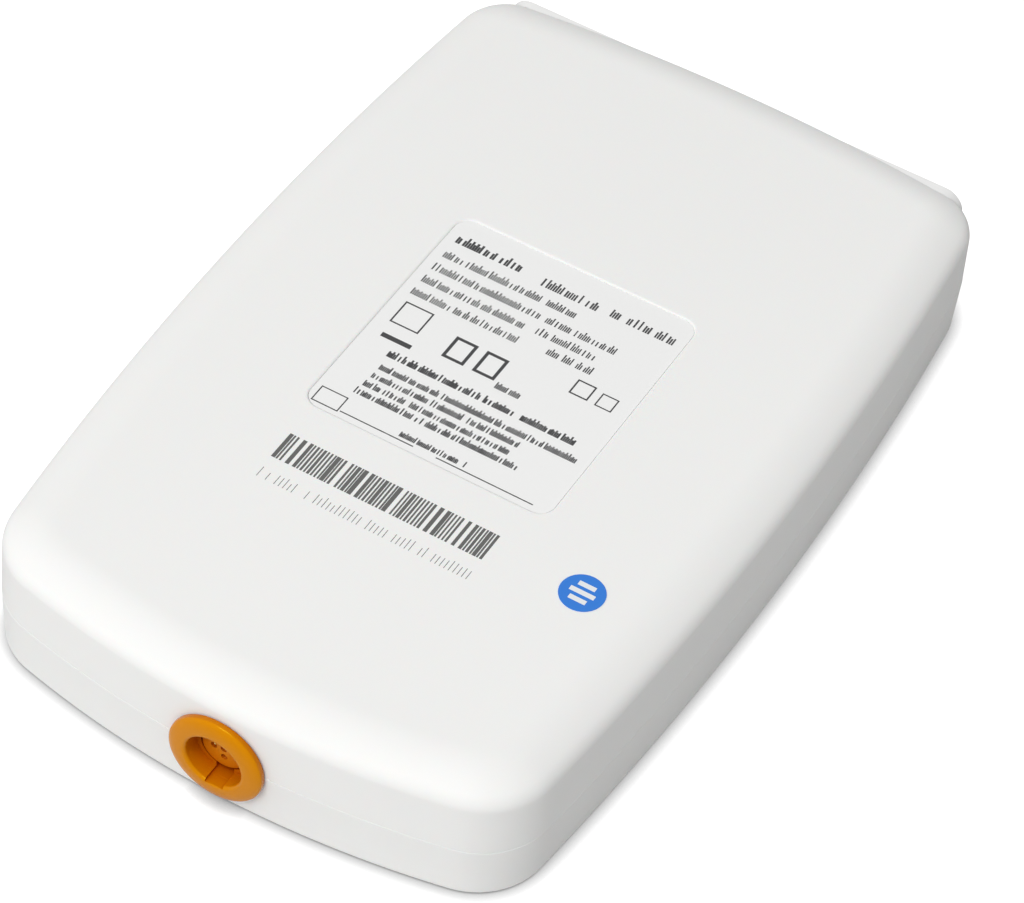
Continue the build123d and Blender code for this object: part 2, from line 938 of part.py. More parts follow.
def lead_columns(count, x, y, half_width):
    """Leads along the left and right sides of a chip."""
    places = [(index - (count - 1) / 2) * lead_pitch for index in range(count)]
    offset = half_width + lead_reach / 2
    return [
        block(lead_reach, lead_width, lead_height, x + side * offset, y + place, board_top)
        for side in (-1, 1)
        for place in places
    ]


def amplifier_places():
    """X of the amplifier chips under the shield."""
    middle = (amplifier_count - 1) / 2
    return [(index - middle) * amplifier_pitch for index in range(amplifier_count)]


def amplifier_chips():
    """Small amplifier chips in a row under the shield."""
    size = (small_chip_width, small_chip_length, small_chip_height)
    return Compound(children=[chip_body(*size, x, amplifier_y) for x in amplifier_places()])


def converter_chip():
    """Square converter chip under the shield."""
    return chip_body(square_chip_side, square_chip_side, square_chip_height, 0, converter_y)


def controller_chip():
    """Square controller chip on the patient side of the isolation gap."""
    side = square_chip_side
    return chip_body(side, side, square_chip_height, controller_x, controller_y)


def isolator_chips():
    """Wide chips that carry the data across the isolation gap."""
    size = (isolator_width, isolator_length, isolator_height)
    return Compound(children=[chip_body(*size, x, isolation_y) for x in isolator_x])


def port_chip():
    """Interface chip beside the computer port."""
    return chip_body(
        port_chip_width, port_chip_length, square_chip_height, port_chip_x, port_chip_y
    )


def chip_leads():
    """Leads of all chips but the converter, which is soldered flat."""
    leads = []
    for x in amplifier_places():
        leads += lead_rows(small_chip_leads, x, amplifier_y, small_chip_length / 2)
    square = (square_chip_leads, controller_x, controller_y, square_chip_side / 2)
    leads += lead_rows(*square) + lead_columns(*square)
    for x in isolator_x:
        leads += lead_rows(isolator_leads, x, isolation_y, isolator_length / 2)
    leads += lead_rows(port_chip_leads, port_chip_x, port_chip_y, port_chip_length / 2)
    return Compound(children=leads)


def shield_frame():
    """Sheet metal fence round the amplifier."""
    outer = Rectangle(shield_width, shield_length)
    inner = Rectangle(shield_width - 2 * shield_sheet, shield_length - 2 * shield_sheet)
    return layer(Pos(0, shield_y) * (outer - inner), board_top, board_top + shield_height)


def shield_lid():
    """Lid that clips over the fence."""
    grow = shield_lid_clearance
    low = board_top + shield_height - shield_lid_height
    top = board_top + shield_height + shield_sheet
    width = shield_width + 2 * grow
    length = shield_length + 2 * grow
    lid = block(width + 2 * shield_sheet, length + 2 * shield_sheet, top - low, 0, shield_y, low)
    lid = fillet(lid.edges().filter_by(Axis.Z), shield_sheet)
    return lid - block(width, length, top - low - shield_sheet, 0, shield_y, low)


def transformer_core():
    """Two E-shaped ferrite halves that meet at the middle of their legs."""
    half = core_height / 2
    inner = core_width / 2 - core_side_leg
    leg = core_leg / 2
    lower = polygon(
        (-core_width / 2, -half), (core_width / 2, -half), (core_width / 2, 0), (inner, 0),
        (inner, core_back - half), (leg, core_back - half), (leg, 0), (-leg, 0),
        (-leg, core_back - half), (-inner, core_back - half), (-inner, 0), (-core_width / 2, 0),
    )
    middle = board_top + core_lift + half
    start = isolation_y - core_depth / 2
    end = isolation_y + core_depth / 2
    halves = [across(shape, start, end, transformer_x, middle)
              for shape in (lower, mirror(lower, about=Plane.XZ))]
    return Compound(children=halves)


def bobbin_span():
    """Heights of the bobbin's lower and upper ends inside the core."""
    low = board_top + core_lift + core_back + core_clearance
    return low, low + core_height - 2 * core_back - 2 * core_clearance


def bobbin_width():
    """Width of the bobbin's flanges between the core's outer legs."""
    return core_width - 2 * core_side_leg - 2 * bobbin_margin


def transformer_bobbin():
    """Bobbin with a tube round the core's leg, two flanges and two pin rails."""
    low, high = bobbin_span()
    tube_x = core_leg + 2 * (core_clearance + bobbin_tube)
    tube_y = core_depth + 2 * (core_clearance + bobbin_tube)
    bobbin = block(tube_x, tube_y, high - low, transformer_x, isolation_y, low)
    for flange_low in (low, high - bobbin_flange):
        bobbin += block(
            bobbin_width(), bobbin_flange_depth, bobbin_flange,
            transformer_x, isolation_y, flange_low,
        )
    rail_length = transformer_pins * transformer_pitch
    for side in (-1, 1):
        y = isolation_y + side * rail_offset()
        bobbin += block(rail_length, rail_width, low + bobbin_flange - board_top,
                        transformer_x, y, board_top)
    bobbin -= block(
        core_leg + 2 * core_clearance, core_depth + 2 * core_clearance, high - low,
        transformer_x, isolation_y, low,
    )
    for x, y in transformer_pin_places():
        bobbin -= block(transformer_pin, transformer_pin, rail_height, x, y, board_top)
    return bobbin


def transformer_winding():
    """Wound copper between the bobbin's flanges."""
    low, high = bobbin_span()
    tube_x = core_leg + 2 * (core_clearance + bobbin_tube)
    tube_y = core_depth + 2 * (core_clearance + bobbin_tube)
    width = bobbin_width() - 2 * winding_inset
    depth = tube_y + width - tube_x
    outline = RectangleRounded(width, depth, winding_corner) - Rectangle(tube_x, tube_y)
    place = Pos(transformer_x, isolation_y)
    return layer(place * outline, low + bobbin_flange, high - bobbin_flange)


def transformer_pin_set():
    """Square pins of the transformer, from its rails through the board."""
    tall = rail_height + transformer_pin_tail
    low = board_top - transformer_pin_tail
    pins = [
        block(transformer_pin, transformer_pin, tall, x, y, low)
        for x, y in transformer_pin_places()
    ]
    return Compound(children=pins)


def capacitor_cans():
    """Aluminium cans with a bevelled top."""
    low = board_top + capacitor_base_height
    cans = []
    for x, y in capacitor_places:
        can = rod(capacitor_radius, capacitor_height, x, y, low)
        cans.append(chamfer(can.edges().group_by(Axis.Z)[-1], capacitor_edge))
    return Compound(children=cans)


def capacitor_bases():
    """Square plastic bases under the capacitor cans."""
    bases = []
    for x, y in capacitor_places:
        base = block(capacitor_base, capacitor_base, capacitor_base_height, x, y, board_top)
        bases.append(chamfer(base.edges().filter_by(Axis.Z), capacitor_base_corner))
    return Compound(children=bases)


def power_inductor():
    """Shielded inductor with cut corners."""
    body = block(inductor_side, inductor_side, inductor_height, inductor_x, inductor_y, board_top)
    return chamfer(body.edges().filter_by(Axis.Z), inductor_corner)


def crystal_can():
    """Oval crystal can on its flange."""
    place = Pos(crystal_x, controller_y)
    foot_length = crystal_length + 2 * crystal_flange
    foot_width = crystal_width + 2 * crystal_flange
    top = board_top + crystal_height
    can = layer(place * SlotOverall(crystal_length, crystal_width), board_top, top)
    foot = layer(
        place * SlotOverall(foot_length, foot_width), board_top, board_top + crystal_flange_height
    )
    return can + foot


def chip_capacitors():
    """Row of small ceramic capacitors."""
    middle = (ceramic_count - 1) / 2
    parts = [
        block(
            ceramic_width, ceramic_length, ceramic_height,
            (index - middle) * ceramic_pitch, ceramic_y, board_top,
        )
        for index in range(ceramic_count)
    ]
    return Compound(children=parts)


def port_tab_y():
    """Y of the port's solder tabs."""
    return port_back_y + port_length / 2


def port_shell():
    """Folded metal shell of the computer port, with two solder tabs."""
    middle = port_back_y + port_length / 2
    shell = block(port_width, port_length, port_height, port_x, middle, board_top)
    shell -= block(
        port_width - 2 * port_sheet, port_length - port_sheet, port_height - port_sheet,
        port_x, middle + port_sheet / 2, board_top,
    )
    for side in (-1, 1):
        shell += block(
            port_sheet, port_tab_width, port_tab_length,
            port_x + side * (port_width - port_sheet) / 2, port_tab_y(),
            board_top - port_tab_length,
        )
    return shell


def port_body():
    """Insulating body of the computer port: bevelled mouth and central tongue."""
    start = port_back_y + port_sheet + port_fit
    body_width = port_width - 2 * (port_sheet + port_fit)
    body_height = port_height - port_sheet - port_fit
    body = block(body_width, port_front_y - start, body_height,
                 port_x, (port_front_y + start) / 2, board_top)
    half = port_mouth_width / 2
    low = -port_mouth_height / 2
    mouth = polygon(
        (-half, low), (half, low), (half, -low - port_mouth_bevel),
        (half - port_mouth_bevel, -low), (port_mouth_bevel - half, -low),
        (-half, -low - port_mouth_bevel),
    )
    mouth_end = port_front_y - port_mouth_depth
    body -= across(mouth, mouth_end, port_front_y, port_x, port_center_z)
    tongue = Rectangle(port_tongue_width, port_tongue_height)
    tongue_front = port_front_y - port_tongue_recess
    return body + across(tongue, mouth_end, tongue_front, port_x, port_center_z)


def port_contacts():
    """Contact strips on the port's tongue and their tails through the board."""
    strips = []
    end = port_front_y - port_tongue_recess - port_contact_thickness
    for side in (-1, 1):
        for row in (-1, 1):
            x = port_x + side * port_contact_pitch / 2
            z = port_center_z + row * (port_tongue_height + port_contact_thickness) / 2
            strip = Rectangle(port_contact_width, port_contact_thickness)
            strips.append(across(strip, end - port_contact_length, end, x, z))
    low = board_top - port_tail_length
    for x, y in port_tail_places():
        strips.append(block(port_tail, port_tail, port_tail_length, x, y, low))
    return Compound(children=strips)


def status_led():
    """Side-looking lamp with a small lens towards the light guide."""
    body = block(led_width, led_length, led_height, light_x, led_face_y - led_length / 2, board_top)
    lens = Rectangle(led_lens_side, led_lens_side)
    return body + across(lens, led_face_y, led_face_y + led_lens_reach, light_x, guide_z)


def light_guide():
    """Clear bar that brings the lamp's light to the end panel's face."""
    bar = Rectangle(guide_width, guide_height)
    collar = Rectangle(guide_width + 2 * guide_collar, guide_height + 2 * guide_collar)
    collar_y = panel_back_y - guide_collar_length
    guide = across(bar, guide_back_y, panel_front_y, light_x, guide_z)
    return guide + across(collar, collar_y, panel_back_y, light_x, guide_z)


makers = {
    "back_cover": back_cover,
    "front_cover": front_cover,
    "end_panel": end_panel,
    "rating_label": rating_label,
    "round_sticker": round_sticker,
    "socket_housing": socket_housing,
    "socket_insert": socket_insert,
    "socket_contacts": socket_contacts,
    "socket_nut": socket_nut,
    "socket_board": socket_board,
    "ribbon_cable": ribbon_cable,
    "ribbon_plug": ribbon_plug,
    "board_header": board_header,
    "header_pins": header_pins,
    "main_board": main_board,
    "board_screws": board_screws,
    "surge_arresters": surge_arresters,
    "protection_resistors": protection_resistors,
    "amplifier_chips": amplifier_chips,
    "converter_chip": converter_chip,
    "controller_chip": controller_chip,
    "isolator_chips": isolator_chips,
    "port_chip": port_chip,
    "chip_leads": chip_leads,
    "shield_frame": shield_frame,
    "shield_lid": shield_lid,
    "transformer_core": transformer_core,
    "transformer_bobbin": transformer_bobbin,
    "transformer_winding": transformer_winding,
    "transformer_pin_set": transformer_pin_set,
    "capacitor_cans": capacitor_cans,
    "capacitor_bases": capacitor_bases,
    "power_inductor": power_inductor,
    "crystal_can": crystal_can,
    "chip_capacitors": chip_capacitors,
    "port_shell": port_shell,
    "port_body": port_body,
    "port_contacts": port_contacts,
    "status_led": status_led,
    "light_guide": light_guide,
}

os.makedirs("parts", exist_ok=True)
for node, maker in makers.items():
    export_step(maker(), f"parts/{node}.step")
    print("wrote", node)
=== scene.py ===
"""Looks of the PC ECG unit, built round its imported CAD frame. Lengths are in metres."""

import json
import logging
import math
from collections.abc import Callable, Iterable, Sequence
from dataclasses import dataclass
from enum import Enum

import bpy
from mathutils import Matrix, Vector
from mathutils.geometry import tessellate_polygon


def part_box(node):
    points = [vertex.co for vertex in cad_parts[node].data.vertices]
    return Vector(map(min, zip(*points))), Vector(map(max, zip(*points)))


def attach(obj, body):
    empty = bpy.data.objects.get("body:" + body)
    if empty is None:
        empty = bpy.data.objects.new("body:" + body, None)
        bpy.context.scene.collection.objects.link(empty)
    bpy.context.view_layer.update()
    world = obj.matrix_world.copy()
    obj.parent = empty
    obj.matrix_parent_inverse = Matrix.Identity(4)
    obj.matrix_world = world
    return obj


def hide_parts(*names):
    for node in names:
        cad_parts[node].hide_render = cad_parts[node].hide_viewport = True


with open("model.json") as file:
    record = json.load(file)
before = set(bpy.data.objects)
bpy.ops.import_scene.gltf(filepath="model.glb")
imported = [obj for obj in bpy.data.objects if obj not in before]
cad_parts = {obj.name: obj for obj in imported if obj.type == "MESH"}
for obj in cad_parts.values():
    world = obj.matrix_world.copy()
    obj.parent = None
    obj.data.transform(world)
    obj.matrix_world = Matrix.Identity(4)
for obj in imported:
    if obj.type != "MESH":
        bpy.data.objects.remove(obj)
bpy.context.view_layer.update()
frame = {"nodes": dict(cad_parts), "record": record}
log = logging.getLogger("ecg_unit")

MM = 0.001
Point = tuple[float, float]
Pair = tuple[float, float]
Triple = tuple[float, float, float]
Circle = tuple[Vector, float]

BLACK: Triple = (0.0, 0.0, 0.0)
WHITE: Triple = (1.0, 1.0, 1.0)


# Node trees


class Graph:
    """Adds and joins the nodes of one tree."""

    def __init__(self, tree: bpy.types.NodeTree) -> None:
        """Starts on an empty tree.

        Args:
            tree: The node tree to fill.
        """
        self.tree = tree
        tree.nodes.clear()

    def add(
        self, kind: str, settings: dict[str, object] | None = None, **values: object
    ) -> bpy.types.Node:
        """Adds a node.

        Args:
            kind: The node's Blender type.
            settings: Properties of the node by name.
            **values: Values or source sockets by input name, with spaces written as underscores.

        Returns:
            The new node.
        """
        node = self.tree.nodes.new(kind)
        for name, value in (settings or {}).items():
            setattr(node, name, value)
        for name, value in values.items():
            self.feed(node.inputs[name.replace("_", " ")], value)
        return node

    def feed(self, socket: bpy.types.NodeSocket, value: object) -> None:
        """Joins a source socket to an input, or sets the input's value.

        Args:
            socket: The input.
            value: A source socket, a colour or a plain value.
        """
        if isinstance(value, bpy.types.NodeSocket):
            self.tree.links.new(value, socket)
        elif isinstance(value, tuple) and len(value) == 3 and socket.type == "RGBA":
            socket.default_value = (*value, 1.0)
        else:
            socket.default_value = value

    def math(self, operation: str, first: object, second: object = 0.0) -> bpy.types.NodeSocket:
        """Adds a maths node.

        Args:
            operation: The node's operation.
            first: First value or source socket.
            second: Second value or source socket.

        Returns:
            The result's socket.
        """
        node = self.add("ShaderNodeMath", {"operation": operation})
        self.feed(node.inputs[0], first)
        self.feed(node.inputs[1], second)
        return node.outputs[0]

    def mix(self, factor: object, first: object, second: object) -> bpy.types.NodeSocket:
        """Adds a colour mix.

        Args:
            factor: Share of the second colour.
            first: First colour or source socket.
            second: Second colour or source socket.

        Returns:
            The result's socket.
        """
        node = self.add("ShaderNodeMix", {"data_type": "RGBA"})
        self.feed(node.inputs[0], factor)
        self.feed(node.inputs[6], first)
        self.feed(node.inputs[7], second)
        return node.outputs[2]


def enabled(sockets: Iterable[bpy.types.NodeSocket]) -> list[bpy.types.NodeSocket]:
    """The sockets that a node shows for the kind of data that it is set to."""
    return [socket for socket in sockets if socket.enabled]


def new_group(
    name: str, inputs: dict[str, str], outputs: dict[str, str]
) -> tuple[Graph, bpy.types.Node, bpy.types.Node]:
    """Makes a shader node group with the given sockets.

    Args:
        name: The group's name.
        inputs: Socket type by input name.
        outputs: Socket type by output name.

    Returns:
        The group's graph, its input node and its output node.
    """
    tree = bpy.data.node_groups.new(name, "ShaderNodeTree")
    for direction, sockets in (("INPUT", inputs), ("OUTPUT", outputs)):
        for socket, kind in sockets.items():
            tree.interface.new_socket(name=socket, in_out=direction, socket_type=kind)
    graph = Graph(tree)
    return graph, graph.add("NodeGroupInput"), graph.add("NodeGroupOutput")


@dataclass(frozen=True)
class ScuffPattern:
    """Stretched noise of which only the crests show, as sparse fine scuffs."""

    stretch: Triple = (1.0, 9.0, 3.0)
    turn: Triple = (0.3, 0.2, 0.7)
    scale: float = 140.0
    foot: float = 0.68
    crest: float = 0.82


class SharedEffects:
    """Node groups that several finishes share."""

    def __init__(self) -> None:
        """Builds every group once."""
        self.grain = self._relief("fine_grain", self._grain)
        self.drift = self._drift(ScuffPattern())
        self.brushing = self._relief("drawn_lines", self._lines)
        self.weave = self._relief("glass_cloth", self._cloth)

    def _relief(
        self, name: str, pattern: Callable[[Graph, object, object], bpy.types.NodeSocket]
    ) -> bpy.types.NodeTree:
        """Makes the group of one relief, which puts out a normal and a height mask.

        Args:
            name: The group's name.
            pattern: Adds the relief's height to a graph, at a place and a scale.

        Returns:
            The group's tree.
        """
        graph, source, target = new_group(
            name,
            {"Pitch": "NodeSocketFloat", "Depth": "NodeSocketFloat"},
            {"Normal": "NodeSocketVector", "Mask": "NodeSocketFloat"},
        )
        place = graph.add("ShaderNodeTexCoord").outputs["Object"]
        height = pattern(graph, place, graph.math("DIVIDE", 1.0, source.outputs["Pitch"]))
        bump = graph.add("ShaderNodeBump", Height=height, Distance=source.outputs["Depth"])
        graph.feed(target.inputs["Normal"], bump.outputs[0])
        graph.feed(target.inputs["Mask"], height)
        return graph.tree

    @staticmethod
    def _grain(graph: Graph, place: object, scale: object) -> bpy.types.NodeSocket:
        """Fine grain of a moulded or cast surface."""
        noise = graph.add("ShaderNodeTexNoise", Vector=place, Scale=scale, Detail=2.0, Roughness=0.6)
        return noise.outputs[0]

    @staticmethod
    def _lines(graph: Graph, place: object, scale: object) -> bpy.types.NodeSocket:
        """Fine lines of rolled or drawn metal."""
        stretched = graph.add("ShaderNodeMapping", Vector=place, Scale=(1.0, 0.05, 1.0)).outputs[0]
        return graph.add("ShaderNodeTexNoise", Vector=stretched, Scale=scale, Detail=2.0).outputs[0]

    @staticmethod
    def _cloth(graph: Graph, place: object, scale: object) -> bpy.types.NodeSocket:
        """Glass cloth that shows faintly through a circuit board's lacquer.

        Args:
            graph: The group's graph.
            place: Socket of the place.
            scale: Socket of the scale.

        Returns:
            The socket of the cloth's height.
        """
        waves = [graph.add("ShaderNodeTexWave", {"bands_direction": direction}, Vector=place, Scale=scale)
                 for direction in ("X", "Y")]
        return graph.math("MULTIPLY", *(wave.outputs[1] for wave in waves))

    def _drift(self, scuffs: ScuffPattern) -> bpy.types.NodeTree:
        """Makes the group of slow changes of tone over a surface, and of sparse fine scuffs.

        Args:
            scuffs: Form of the scuffs.

        Returns:
            The group's tree.
        """
        graph, source, target = new_group(
            "slow_drift",
            {"Colour": "NodeSocketColor", "Span": "NodeSocketFloat", "Share": "NodeSocketFloat"},
            {"Colour": "NodeSocketColor", "Mask": "NodeSocketFloat", "Scuff": "NodeSocketFloat"},
        )
        place = graph.add("ShaderNodeTexCoord").outputs["Object"]
        scale = graph.math("DIVIDE", 1.0, source.outputs["Span"])
        slow = graph.add("ShaderNodeTexNoise", Vector=place, Scale=scale, Detail=3.0)
        amount = graph.math("MULTIPLY", slow.outputs[0], source.outputs["Share"])
        toned = graph.mix(amount, source.outputs["Colour"], BLACK)
        stretched = graph.add("ShaderNodeMapping", Vector=place, Scale=scuffs.stretch, Rotation=scuffs.turn)
        lines = graph.add("ShaderNodeTexNoise", Vector=stretched.outputs[0], Scale=scuffs.scale, Detail=1.0)
        shown = graph.add("ShaderNodeMapRange", Value=lines.outputs[0], From_Min=scuffs.foot,
                          From_Max=scuffs.crest)
        graph.feed(target.inputs["Colour"], toned)
        graph.feed(target.inputs["Mask"], slow.outputs[0])
        graph.feed(target.inputs["Scuff"], shown.outputs[0])
        return graph.tree


# Finishes


class Texture(Enum):
    """Shared effect that gives a finish its relief."""

    GRAIN = "grain"
    BRUSHING = "brushing"
    WEAVE = "weave"


@dataclass(frozen=True)
class CavityShade:
    """Painted shade: a darker, redder colour in deep corners and recesses, set by an ambient occlusion
    mask.
    """

    # Colour of the painted shade in the deepest corners.
    colour: Triple = (0.36, 0.035, 0.0)
    reach: float = 5 * MM
    samples: int = 8


CAVITY_SHADE = CavityShade()
ROUGHNESS_FOOT = 0.94
ROUGHNESS_SWING = 0.12
SUBSURFACE_REACH = 0.6 * MM


@dataclass(frozen=True)
class Finish:
    """One material slot of the unit.

    Attributes:
        slot: The slot's name in the record.
        colour: Base colour, linear.
        roughness: Middle roughness.
        metallic: 1 for bare metal.
        texture: Shared effect that gives the relief.
        pitch: Size of one grain or line.
        depth: Height of the relief.
        spread: Share by which the slow drift darkens the colour.
        span: Length of the slow drift.
        grain_tint: Share by which the relief's low spots are darker.
        scuffs: How much sparse scuffs dull the surface.
        subsurface: Weight of light that enters the plastic.
        transmission: Weight of light that goes through.
        coat: Weight of a clear lacquer.
        gloss: Strength of the mirror-like reflection.
        gloss_tint: Tint of that reflection.
        cavity_shade: How much painted shade darkens deep corners, as an exponent of an ambient occlusion
            mask.
    """

    slot: str
    colour: Triple
    roughness: float = 0.45
    metallic: float = 0.0
    texture: Texture = Texture.GRAIN
    pitch: float = 0.35 * MM
    depth: float = 0.004 * MM
    spread: float = 0.04
    span: float = 45 * MM
    grain_tint: float = 0.02
    scuffs: float = 0.0
    subsurface: float = 0.0
    transmission: float = 0.0
    coat: float = 0.0
    gloss: float = 0.5
    gloss_tint: Triple = WHITE
    cavity_shade: float = 0.0

    def material(self, effects: SharedEffects) -> bpy.types.Material:
        """Builds the finish's material.

        Args:
            effects: The shared node groups.

        Returns:
            The material, named after the slot.
        """
        made = bpy.data.materials.new(self.slot)
        made.use_nodes = True
        graph = Graph(made.node_tree)
        relief = graph.add("ShaderNodeGroup", {"node_tree": getattr(effects, self.texture.value)},
                           Pitch=self.pitch, Depth=self.depth)
        drift = graph.add("ShaderNodeGroup", {"node_tree": effects.drift},
                          Colour=self.colour, Span=self.span, Share=self.spread)
        low_spots = graph.math("MULTIPLY", relief.outputs["Mask"], self.grain_tint)
        colour = graph.mix(low_spots, drift.outputs["Colour"], BLACK)
        # Painted shade: an ambient occlusion mask darkens deep corners towards a dark red.
        if self.cavity_shade:
            near = graph.add("ShaderNodeAmbientOcclusion", {"samples": CAVITY_SHADE.samples},
                             Distance=CAVITY_SHADE.reach)
            unshaded_share = graph.math("POWER", near.outputs["AO"], self.cavity_shade)
            colour = graph.mix(unshaded_share, CAVITY_SHADE.colour, colour)
        wear = graph.math("MULTIPLY", drift.outputs["Scuff"], self.scuffs)
        varied = graph.math("MULTIPLY_ADD", drift.outputs["Mask"], ROUGHNESS_SWING * self.roughness)
        varied.node.inputs[2].default_value = ROUGHNESS_FOOT * self.roughness
        roughness = graph.math("ADD", varied, wear)
        shader = graph.add(
            "ShaderNodeBsdfPrincipled",
            Base_Color=colour,
            Roughness=roughness,
            Metallic=self.metallic,
            Normal=relief.outputs["Normal"],
            Subsurface_Weight=self.subsurface,
            Subsurface_Scale=SUBSURFACE_REACH,
            Transmission_Weight=self.transmission,
            Coat_Weight=self.coat,
            Specular_IOR_Level=self.gloss,
            Specular_Tint=self.gloss_tint,
        )
        output = graph.add("ShaderNodeOutputMaterial")
        graph.feed(output.inputs["Surface"], shader.outputs[0])
        return made


FINISHES: tuple[Finish, ...] = (
    Finish("cover_plastic", (0.874, 0.874, 0.860), 0.42, pitch=0.30 * MM, depth=0.0035 * MM,
           spread=0.02, grain_tint=0.015, scuffs=0.10, subsurface=0.08, gloss=0.06),
    Finish("panel_plastic", (0.872, 0.872, 0.862), 0.38, spread=0.02, scuffs=0.08, gloss=0.13),
    Finish("label_film", (0.875, 0.876, 0.868), 0.38, pitch=0.5 * MM, depth=0.002 * MM,
           spread=0.015, gloss=0.15),
    Finish("label_ink", (0.045, 0.045, 0.047), 0.55, pitch=0.08 * MM, depth=0.001 * MM, grain_tint=0.3),
    Finish("code_ink", (0.13, 0.13, 0.125), 0.55, pitch=0.10 * MM, depth=0.001 * MM, grain_tint=0.35),
    Finish("sticker_film", (0.035, 0.205, 0.69), 0.38, pitch=0.3 * MM, depth=0.002 * MM, gloss=0.25),
    Finish("sticker_white", (0.80, 0.82, 0.84), 0.36, pitch=0.3 * MM, depth=0.001 * MM),
    # The socket's and the insert's plastics carry painted shade in their deep corners.
    Finish("socket_plastic", (0.69, 0.238, 0.001), 0.22, pitch=0.4 * MM, spread=0.12,
           scuffs=0.10, gloss=0.38, gloss_tint=(1.0, 0.9, 0.05), cavity_shade=1.2),
    Finish("insert_plastic", (0.78, 0.25, 0.004), 0.30, pitch=0.3 * MM, spread=0.15,
           gloss=0.4, gloss_tint=(1.0, 0.80, 0.2), cavity_shade=1.0),
    Finish("gold_contact", (0.83, 0.60, 0.22), 0.22, 1.0, Texture.BRUSHING, 0.05 * MM, 0.001 * MM),
    Finish("nut_plastic", (0.035, 0.035, 0.038), 0.5),
    Finish("wire_insulation", (0.26, 0.27, 0.29), 0.42),
    Finish("header_plastic", (0.70, 0.66, 0.55), 0.45, subsurface=0.1),
    Finish("tin_metal", (0.70, 0.70, 0.68), 0.32, 1.0, Texture.BRUSHING, 0.06 * MM, 0.001 * MM),
    Finish("board_laminate", (0.012, 0.10, 0.035), 0.33, texture=Texture.WEAVE, pitch=0.9 * MM,
           depth=0.004 * MM, grain_tint=0.25, coat=0.4),
    Finish("screw_steel", (0.62, 0.62, 0.63), 0.28, 1.0, Texture.BRUSHING, 0.06 * MM, 0.001 * MM),
    Finish("arrester_body", (0.78, 0.75, 0.68), 0.18, pitch=0.2 * MM, coat=0.4),
    Finish("chip_black", (0.012, 0.012, 0.013), 0.52, pitch=0.08 * MM, depth=0.004 * MM),
    Finish("shield_metal", (0.66, 0.66, 0.64), 0.34, 1.0, Texture.BRUSHING, 0.12 * MM, 0.001 * MM),
    Finish("ferrite", (0.035, 0.035, 0.038), 0.6, pitch=0.15 * MM, depth=0.01 * MM, grain_tint=0.3),
    Finish("bobbin_plastic", (0.02, 0.02, 0.02), 0.42),
    Finish("winding_copper", (0.62, 0.24, 0.10), 0.28, 1.0, Texture.BRUSHING, 0.25 * MM, 0.02 * MM,
           coat=0.6),
    Finish("can_aluminium", (0.80, 0.80, 0.81), 0.24, 1.0, Texture.BRUSHING, 0.08 * MM, 0.001 * MM),
    Finish("ceramic_tan", (0.40, 0.28, 0.16), 0.5, pitch=0.1 * MM),
    Finish("port_metal", (0.66, 0.66, 0.64), 0.26, 1.0, Texture.BRUSHING, 0.12 * MM, 0.001 * MM),
    Finish("port_plastic", (0.80, 0.80, 0.77), 0.42),
    Finish("led_epoxy", (0.70, 0.80, 0.68), 0.15, transmission=0.5),
    Finish("clear_plastic", (0.85, 0.88, 0.88), 0.12, transmission=0.8),
)


class Paintshop:
    """Makes each finish once and puts it on pieces."""

    def __init__(self) -> None:
        """Builds every material from the shared effects."""
        effects = SharedEffects()
        self.materials = {finish.slot: finish.material(effects) for finish in FINISHES}

    def coat(self, piece: bpy.types.Object, slot: str) -> None:
        """Gives a piece one finish.

        Args:
            piece: The mesh object.
            slot: The finish's slot name.
        """
        piece.data.materials.clear()
        piece.data.materials.append(self.materials[slot])


# Meshes

SMOOTH_ANGLE = 30.0
TIP_SMOOTH_ANGLE = 40.0


